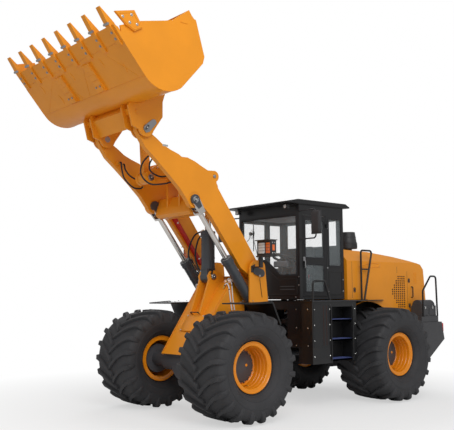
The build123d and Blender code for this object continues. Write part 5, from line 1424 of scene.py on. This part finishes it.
# ---------------------------------------------------------------- hood
class DressHood(bpy.types.Operator):
    """Panel seams, pressed panel, grille backing, handles, air cleaner bands and exhaust of the hood"""
    bl_idname = "loader.hood"
    bl_label = "Hood"

    def execute(self, context):
        backs = []
        for row in range(15):
            count = 4 + min(row, 14 - row) // 2
            z = 1.58 + 0.041 * (row + 0.5)
            for column in range(count):
                y = 2.87 - 0.061 * (column + 0.5)
                backs.append(block((0.7912, y - 0.021, z - 0.0125), (0.7922, y + 0.021, z + 0.0125)))
        put("grille_backing", both(backs), "cast", REAR)
        self.seams()
        self.fittings()
        self.stacks()
        return {"FINISHED"}

    def seams(self):
        """Panel gaps as thin dark strips, and the pressed swage on each side."""
        gaps = []
        for y, low, high in ((1.3, 1.78, 2.43), (2.62, 2.24, 2.36), (2.935, 1.36, 2.28)):
            gaps.append(prism(rectangle((y - 0.003, low), (y + 0.003, high)), 0.7995, 0.8006))
        gaps.append(prism(rectangle((2.935, 1.455), (3.35, 1.461)), 0.7995, 0.8006))
        put("hood_gaps", both(gaps), "cast", REAR)
        outline = np.array([(1.46, 2.335), (1.8, 2.425), (2.14, 2.408), (2.1, 2.335), (1.62, 2.312)])
        middle = outline.mean(0)
        steps = ((1.0, 0.0), (0.97, 0.006), (0.84, 0.009), (0.8, 0.009), (0.7, 0.002), (0.7, 0.0))
        rings = np.stack([np.column_stack([np.full(5, 0.7999 + h), middle + (outline - middle) * s])
            for s, h in steps])
        put("hood_swages", both(grid(rings, loop_rows=True, loop_columns=True)), "orange", REAR, 0.003)
        flare = [(AXLE_REACH + 0.915 * math.cos(a), AXLE_HEIGHT + 0.915 * math.sin(a))
            for a in np.linspace(0.6, 2.4, 40)]
        lip = tube(np.array([(0.792, y, z) for y, z in flare]), 0.011, 10)
        put("hood_arch_lips", both(lip), "orange", REAR)

    def fittings(self):
        """Flush latches, the rear pull handles and two pressed ribs."""
        latches = []
        for y, z in ((1.36, 1.92), (2.99, 1.62), (2.99, 2.1)):
            latches.append(strip_round(rectangle((y - 0.028, z - 0.042), (y + 0.028, z + 0.042)), 0.008,
                0.005, "x", 0.8001))
            latches.append(prism(rectangle((y - 0.018, z - 0.03), (y + 0.018, z + 0.03)), 0.8, 0.804))
        put("hood_latches", both(latches), "plastic", REAR, 0.0015)
        pull = tube(rounded([(0.797, 3.06, 1.78), (0.838, 3.06, 1.78), (0.838, 3.06, 1.98),
            (0.797, 3.06, 1.98)], 0.025, 6), 0.01, 12)
        put("hood_pulls", both(pull), "black", REAR)
        rib = merged(*[prism([(y, 2.05), (y + 0.02, 2.05), (y + 0.02, 2.26), (y, 2.26)], 0.7998, 0.806)
            for y in (3.16, 3.22)])
        put("hood_ribs", both(rib), "orange", REAR, 0.003)

    def stacks(self):
        """The air cleaner's bowl bands and cap, and the exhaust's rolled lip and clamp."""
        x, y = 0.35, 1.75
        rings = []
        for z, r in ((2.7, 0.1655), (2.788, 0.1655), (2.806, 0.1605), (2.9, 0.1455)):
            rings.append(turned([(-0.006, r - 0.002), (-0.005, r + 0.004), (0.005, r + 0.004),
                (0.006, r - 0.002)], (x, y, z), UP, 56, loop=True))
        louvres = []
        for a in np.arange(40) * 2 * math.pi / 40:
            c, s = math.cos(a), math.sin(a)
            louvres.append(prism([(-0.003, -0.006), (0.003, -0.006), (0.003, 0.006), (-0.003, 0.006)], 2.715,
                2.775, "z"))
            turn = np.array([[c, -s, 0], [s, c, 0], [0, 0, 1]])
            louvres[-1] = ((louvres[-1][0] + (0.1665, 0, 0)) @ turn.T + (x, y, 0), louvres[-1][1])
        put("precleaner_bands", rings, "plastic", REAR)
        put("precleaner_louvres", louvres, "plastic", REAR)
        nut = turned([(-0.002, 0.03), (0.008, 0.03), (0.01, 0.014), (0.028, 0.014), (0.03, 0.004)],
            (x, y, 3.0002), UP, 24)
        put("precleaner_nut", (nut[0] * (1, 1, 0.1) + (0, 0, 3.0002 * 0.9), nut[1]), "zinc", REAR)
        pipe = turned([(-0.004, 0.056), (0.0, 0.06), (0.006, 0.06), (0.006, 0.056)], (-0.18, 2.207, 2.89), UP,
            48, loop=True)
        clamp = turned([(-0.012, 0.0555), (-0.012, 0.06), (0.012, 0.06), (0.012, 0.0555)],
            (-0.18, 2.207, 2.7), UP, 48, loop=True)
        put("exhaust_lip", merged(pipe, clamp), "rust", REAR)


# ---------------------------------------------------------------- sides and rear
class DressSides(bpy.types.Operator):
    """Step treads, ladder tubes, bolts, lock bar, fender lips and rails along both sides"""
    bl_idname = "loader.sides"
    bl_label = "Steps and rails"

    def execute(self, context):
        treads = []
        for z in (0.76, 1.08, 1.4):
            base = z + 0.0302
            treads.append(block((1.01, 0.262, base - 0.001), (1.2185, 0.758, base + 0.003)))
            teeth = [prism([(x - 0.006, base + 0.002), (x, base + 0.009), (x + 0.006, base + 0.002)], 0.275,
                0.745, "y") for x in np.arange(1.03, 1.21, 0.03)]
            treads += teeth
            treads.append(block((1.217, 0.262, z), (1.22, 0.758, z + 0.03)))
        put("step_treads", both(treads), "tread", REAR, 0.0008)
        tubes = [tube(rounded([(1.205, y, 0.745), (1.228, y, 0.8), (1.228, y, 1.62), (1.205, y, 1.7)], 0.05,
            6), 0.0125, 12) for y in (0.235, 0.785)]
        put("ladder_tubes", both(tubes), "black", REAR)
        dots = [(1.2205, y, z) for z in (0.85, 1.1, 1.35, 1.6) for y in (-0.165, 0.205, 0.845)]
        put("side_box_bolts", both(bolt_heads(dots, LEFT, 0.0085, 0.008)), "zinc", REAR)
        front = [(x, -0.2105, z) for x in (0.86, 1.12) for z in (1.02, 1.3, 1.6)]
        put("side_box_front_bolts", both(bolt_heads(front, AHEAD, 0.008, 0.007)), "zinc", REAR)
        seam = prism(rectangle((0.02 - 0.002, 0.98), (0.02 + 0.002, 1.7)), 1.2195, 1.2206)
        door = strip_round(rectangle((-0.175, 1.0), (0.19, 1.68)), 0.012, 0.004, "x", 1.2202)
        put("side_box_doors", both(merged(door, seam)), "black", REAR, 0.001)
        strips = merged(*[prism(rectangle((y, 1.02), (y + 0.016, 1.66)), 1.2198, 1.2212)
            for y in (0.05, 0.12)])
        put("side_box_strips", both(strips), "rust", REAR)
        edge = block((1.2375, -0.222, 1.7285), (1.2425, 0.915, 1.7415))
        put("deck_edges", both(edge), "grey", REAR, 0.001)
        bumps = []
        for x in np.arange(0.84, 1.2, 0.045):
            for y in np.arange(0.0 if x < 1.01 else -0.12, 0.86, 0.06):
                bumps.append((x, y + (0.03 if int(round((x - 0.84) / 0.045)) % 2 else 0.0), DECK_TOP))
        stud = turned([(-0.001, 0.011), (0.0012, 0.0095), (0.0022, 0.004), (0.0022, 0.001)], (0, 0, 0), UP, 8)
        put("deck_studs", both(copies(stud, bumps)), "black", REAR)
        self.lock_bar()
        self.rails()
        self.fenders()
        return {"FINISHED"}

    def lock_bar(self):
        """The red bar that locks the two frames together, parked on the front frame's side."""
        flat = prism([(-0.62, 0.632), (-0.6, 0.612), (-0.27, 0.612), (-0.25, 0.632), (-0.25, 0.662),
            (-0.27, 0.682), (-0.6, 0.682), (-0.62, 0.662)], 0.4105, 0.4265)
        pins = both(turned([(-0.002, 0.016), (0.02, 0.016), (0.022, 0.01), (0.04, 0.01), (0.042, 0.004)],
            (0.4265, -0.56, 0.647), LEFT, 20))
        put("lock_bars", both(flat), "red", FRONT, 0.004)
        put("lock_pins", pins, "zinc", FRONT)

    def rails(self):
        """The mid rail of the hood rail, and the feet of every rail."""
        middle = tube(np.array([(0.86, 1.485, 2.29), (0.86, 1.705, 2.29)]), 0.0125, 14)
        put("hood_mid_rails", both(middle), "black", REAR)
        feet = [turned([(0.0, 0.034), (0.006, 0.034), (0.008, 0.03), (0.008, 0.0175)], (x, y, z), UP, 24)
            for x, y, z in (
            (1.222, -0.19, DECK_TOP), (1.222, 0.225, DECK_TOP), (0.86, 1.485, DECK_TOP),
            (0.86, 1.56, DECK_TOP), (1.128, 2.96, 1.4202), (1.128, 3.4, 1.4202))]
        feet = [(f[0] * (0.5, 1, 1) + (0.5 * f[0][:, 0].mean() - 0.004, 0, 0), f[1]) for f in feet]
        put("rail_feet", both(feet), "black", REAR)

    def fenders(self):
        """Rolled lips along the front fenders, and the bolts on their tops."""
        path = [(-1.62, 1.7225), (-1.16, 1.7515), (-0.99, 1.405)]
        lip = tube(np.array([(1.292, y, z - 0.008)
            for y, z in rounded([(0, *p) for p in path], 0.05, 8)[:, 1:]]), 0.0075, 8)
        put("fender_lips", both(lip), "black", FRONT)
        bolts = [(x, y, 1.722 + (y + 1.62) * 0.063) for x in (0.72, 0.95) for y in (-1.5, -1.25)]
        put("fender_bolts", both(bolt_heads(bolts, UP, 0.01, 0.009)), "pin", FRONT)


class DressLamps(bpy.types.Operator):
    """Headlamp lenses, bezels and guards, indicators, side markers and tail lamp lenses"""
    bl_idname = "loader.lamps"
    bl_label = "Lamps"

    def execute(self, context):
        clear = pillow((0.905, -1.0105, 2.5725), (0.078, 0.086, 0.006), math.pi / 2, 0.25)
        amber = pillow((1.05, -1.0105, 2.5725), (0.054, 0.086, 0.006), math.pi / 2, 0.25)
        put("headlamp_lenses", both(clear), "clear", FRONT)
        put("indicator_lenses", both(amber), "amber", FRONT)
        bezel = merged(strip_round(rectangle((0.82, 2.48), (0.99, 2.665)), 0.014, 0.01, "y", -1.0102, -1),
            strip_round(rectangle((0.99, 2.48), (1.108, 2.665)), 0.012, 0.01, "y", -1.0102, -1))
        put("lamp_bezels", both(bezel), "plastic", FRONT)
        slats = [block((0.815, -1.026, z), (1.112, -1.021, z + 0.004)) for z in (2.53, 2.575, 2.62)]
        put("lamp_guards", both(slats), "black", FRONT)
        screws = [(1.1205, y, z) for y in (-0.98, -0.93) for z in (2.49, 2.655)]
        put("lamp_screws", both(bolt_heads(screws, LEFT, 0.006, 0.005)), "zinc", FRONT)
        side_lens = both(prism(rectangle((-0.985, 2.53), (-0.935, 2.62)), 1.1198, 1.1235))
        put("side_markers", side_lens, "amber", FRONT, 0.0015)
        red = both(pillow((1.118, 3.5842, 1.21), (0.022, 0.07, 0.005), math.pi / 2, 0.25))
        put("tail_lenses", red, "ruby", REAR)
        orange = both(pillow((1.062, 3.5842, 1.21), (0.028, 0.07, 0.005), math.pi / 2, 0.25))
        put("tail_indicators", orange, "amber", REAR)
        side_red = both(prism(rectangle((3.535, 1.145), (3.575, 1.275)), 1.1448, 1.149))
        put("tail_side_lenses", side_red, "ruby", REAR, 0.0015)
        return {"FINISHED"}


class DressRear(bpy.types.Operator):
    """Rear grille frame, hitch pin, battery box lids, bolts, lifting loops and a blank plate"""
    bl_idname = "loader.rear"
    bl_label = "Rear"

    def execute(self, context):
        frame_strip = strip_round(rectangle((-0.52, 1.45), (0.52, 1.7)), 0.026, 0.008, "y", 3.5802, 1)
        put("rear_grille_frame", frame_strip, "black", REAR)
        pin = turned([(-0.19, 0.02), (-0.188, 0.024), (0.0, 0.024), (0.004, 0.034), (0.012, 0.034),
            (0.016, 0.02), (0.026, 0.006)], (0, 3.655, 1.15), UP, 28)
        put("hitch_pin", pin, "zinc", REAR)
        lids, latches = [], []
        for y in (3.05, 3.29):
            lids.append(strip_round(rectangle((y - 0.1, 1.44), (y + 0.1, 1.6)), 0.012, 0.004, "x", 1.1102))
            latches.append(block((1.11, y - 0.016, 1.56), (1.12, y + 0.016, 1.605)))
        put("battery_box_lids", both(lids), "grey", REAR, 0.001)
        put("battery_box_latches", both(latches), "zinc", REAR, 0.002)
        top = [(x, y, 1.3102) for x in (0.75, 0.62) for y in (3.4, 3.48)]
        put("counterweight_bolts", both(bolt_heads(top, UP, 0.016, 0.014)), "pin", REAR)
        eyes = both(tube(rounded([(0.9, 3.47, 1.305), (0.9, 3.47, 1.35), (0.98, 3.47, 1.35),
            (0.98, 3.47, 1.305)], 0.02, 6), 0.01, 12))
        put("lifting_loops", eyes, "grey", REAR)
        slope = np.array([(x, 3.52 + 0.08 * (1.31 - z) / 0.33, z)
            for x, z in ((-0.22, 1.14), (0.22, 1.14), (0.22, 1.24), (-0.22, 1.24))])
        out = unit(np.array([0.0, 0.33, 0.08]))
        blank = grid(np.stack([slope + out * 0.0004, slope + out * 0.0035]), loop_columns=True)
        put("number_plate_blank", blank, "zinc", REAR, 0.001)
        return {"FINISHED"}


# ---------------------------------------------------------------- studio
class StageSettings(bpy.types.PropertyGroup):
    lens: FloatProperty(name="Lens", description="Camera focal length on a 36 mm sensor, in millimetres",
        default=58.47, min=1.0)
    azimuth: FloatProperty(name="Azimuth", description="Direction of the camera round the machine",
        default=math.radians(49.263), subtype="ANGLE")
    tilt: FloatProperty(name="Tilt", description="Angle of the camera's sight line above the level",
        default=math.radians(6.222), subtype="ANGLE")
    roll: FloatProperty(name="Roll", description="Turn of the camera about its sight line",
        default=math.radians(-0.315), subtype="ANGLE")
    fill: FloatProperty(name="Fill", description="Strength of the even light from all round", default=0.5,
        min=0.0)
    key: FloatProperty(name="Key", description="Power of the large lamp over the front, in watts",
        default=1080.0, min=0.0)


CAMERA_PLACE = np.array([9.355, -9.006, 1.835])


class BuildStage(bpy.types.Operator):
    """Pale floor, soft light and the camera"""
    bl_idname = "loader.stage"
    bl_label = "Studio"

    def execute(self, context):
        stage = context.scene.loader_stage
        scene = context.scene
        scene.view_settings.view_transform = "Standard"
        self.floor()
        self.world(scene, stage.fill)
        self.lamp("key lamp", (11.5, -6.5, 11.0), (0, 0.4, 2.2), 9.0, stage.key)
        self.lamp("rim lamp", (-10.0, 7.0, 10.0), (0, 0, 2.0), 8.0, 0.4 * stage.key)
        camera = bpy.data.objects.new("camera", bpy.data.cameras.new("camera"))
        scene.collection.objects.link(camera)
        camera.data.lens = stage.lens
        camera.data.sensor_width = 36.0
        camera.data.clip_end = 200.0
        sight = np.array([
            -math.sin(stage.azimuth) * math.cos(stage.tilt), math.cos(stage.azimuth) * math.cos(stage.tilt),
            math.sin(stage.tilt)])
        right = unit(np.cross(sight, UP))
        up = np.cross(right, sight)
        c, s = math.cos(stage.roll), math.sin(stage.roll)
        axes = np.column_stack([c * right + s * up, c * up - s * right, -sight])
        turn = np.eye(4)
        turn[:3, :3], turn[:3, 3] = axes, CAMERA_PLACE
        camera.matrix_world = Matrix(turn.tolist())
        scene.camera = camera
        return {"FINISHED"}

    def floor(self):
        """A wide disc whose finish fades into the white backdrop away from the machine."""
        angle = np.linspace(0, 2 * math.pi, 96, endpoint=False)
        radius = np.array([0.4, 4.0, 9.0, 16.0, 30.0, 60.0])
        rings = np.stack([radius[:, None] * np.cos(angle), radius[:, None] * np.sin(angle),
            np.zeros((6, 96))], -1)
        material = bpy.data.materials.new("pale floor")
        material.use_nodes = True
        tree = material.node_tree
        tree.nodes.clear()
        out = tree.nodes.new("ShaderNodeOutputMaterial")
        diffuse = tree.nodes.new("ShaderNodeBsdfDiffuse")
        diffuse.inputs["Color"].default_value = (0.8, 0.8, 0.8, 1)
        glow = tree.nodes.new("ShaderNodeEmission")
        glow.inputs["Color"].default_value = (1, 1, 1, 1)
        blend = tree.nodes.new("ShaderNodeMixShader")
        far = tree.nodes.new("ShaderNodeVectorMath")
        far.operation = "LENGTH"
        tree.links.new(tree.nodes.new("ShaderNodeTexCoord").outputs["Object"], far.inputs[0])
        path = tree.nodes.new("ShaderNodeLightPath")
        either = tree.nodes.new("ShaderNodeMath")
        either.operation = "MAXIMUM"
        tree.links.new(path.outputs["Is Camera Ray"], either.inputs[0])
        tree.links.new(path.outputs["Is Transmission Ray"], either.inputs[1])
        share = tree.nodes.new("ShaderNodeMath")
        share.operation = "MULTIPLY"
        tree.links.new(ranged(tree, far.outputs["Value"], 3.0, 7.0, 0.55, 1.0), share.inputs[0])
        tree.links.new(either.outputs["Value"], share.inputs[1])
        tree.links.new(share.outputs["Value"], blend.inputs["Fac"])
        tree.links.new(diffuse.outputs["BSDF"], blend.inputs[1])
        tree.links.new(glow.outputs["Emission"], blend.inputs[2])
        # Bolted side cutters: a raised rim and four bolts on each side.
        tree.links.new(blend.outputs["Shader"], out.inputs["Surface"])
        mesh = bpy.data.meshes.new("floor")
        faces = quads(6, 96, loop_columns=True).tolist() + [list(range(96))]
        mesh.from_pydata(rings.reshape(-1, 3).tolist(), [], faces)
        mesh.materials.append(material)
        floor = bpy.data.objects.new("floor", mesh)
        bpy.context.scene.collection.objects.link(floor)

    def world(self, scene, fill):
        """An even sky: white where it is seen or mirrored, and dimmer as light."""
        world = bpy.data.worlds.new("studio sky")
        scene.world = world
        world.use_nodes = True
        tree = world.node_tree
        tree.nodes.clear()
        out = tree.nodes.new("ShaderNodeOutputWorld")
        light = tree.nodes.new("ShaderNodeBackground")
        light.inputs["Color"].default_value = (1, 1, 1, 1)
        light.inputs["Strength"].default_value = fill
        seen = tree.nodes.new("ShaderNodeBackground")
        seen.inputs["Color"].default_value = (1, 1, 1, 1)
        path = tree.nodes.new("ShaderNodeLightPath")
        either = tree.nodes.new("ShaderNodeMath")
        either.operation = "MAXIMUM"
        tree.links.new(path.outputs["Is Camera Ray"], either.inputs[0])
        tree.links.new(path.outputs["Is Transmission Ray"], either.inputs[1])
        blend = tree.nodes.new("ShaderNodeMixShader")
        tree.links.new(either.outputs["Value"], blend.inputs["Fac"])
        tree.links.new(light.outputs["Background"], blend.inputs[1])
        tree.links.new(seen.outputs["Background"], blend.inputs[2])
        tree.links.new(blend.outputs["Shader"], out.inputs["Surface"])

    def lamp(self, name, place, target, size, power):
        """A large square lamp that faces the machine."""
        data = bpy.data.lights.new(name, "AREA")
        data.shape = "SQUARE"
        data.size = size
        data.energy = power
        lamp = bpy.data.objects.new(name, data)
        bpy.context.scene.collection.objects.link(lamp)
        back = unit(np.asarray(place, float) - target)
        side, up = triad(back)
        turn = np.eye(4)
        turn[:3, :3], turn[:3, 3] = np.column_stack([side, up, back]), place
        lamp.matrix_world = Matrix(turn.tolist())


# ---------------------------------------------------------------- panel and run
STEPS = ("paint", "tyres", "rims", "bucket", "linkage", "cylinders", "hoses", "boom", "front", "cab", "seat",
         "controls", "hood", "sides", "lamps", "rear", "stage")


class LoaderPanel(bpy.types.Panel):
    """Lists the steps that build the machine"""
    bl_idname = "VIEW3D_PT_loader"
    bl_label = "Wheel Loader"
    bl_space_type = "VIEW_3D"
    bl_region_type = "UI"
    bl_category = "Loader"

    def draw(self, context):
        for group in (context.scene.loader_paint, context.scene.loader_tyre, context.scene.loader_stage):
            for key in group.__annotations__:
                self.layout.prop(group, key)
        for step in STEPS:
            self.layout.operator(f"loader.{step}")


CLASSES = (
    PaintSettings, TyreSettings, StageSettings,
    PaintFrame, DressTyres, DressRims, DressBucket, DressLinkage, DressCylinders, DressHoses, DressBoom,
    DressFrontFrame,
    DressCab, DressSeat, DressControls, DressHood, DressSides, DressLamps, DressRear, BuildStage, LoaderPanel,
)


def register():
    for item in CLASSES:
        bpy.utils.register_class(item)
    bpy.types.Scene.loader_paint = PointerProperty(type=PaintSettings)
    bpy.types.Scene.loader_tyre = PointerProperty(type=TyreSettings)
    bpy.types.Scene.loader_stage = PointerProperty(type=StageSettings)


def unregister():
    for key in ("loader_paint", "loader_tyre", "loader_stage"):
        delattr(bpy.types.Scene, key)
    for item in reversed(CLASSES):
        bpy.utils.unregister_class(item)


def main():
    """Builds everything in order."""
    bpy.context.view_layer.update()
    register()
    for step in STEPS:
        getattr(bpy.ops.loader, step)()


if __name__ == "__main__":
    main()
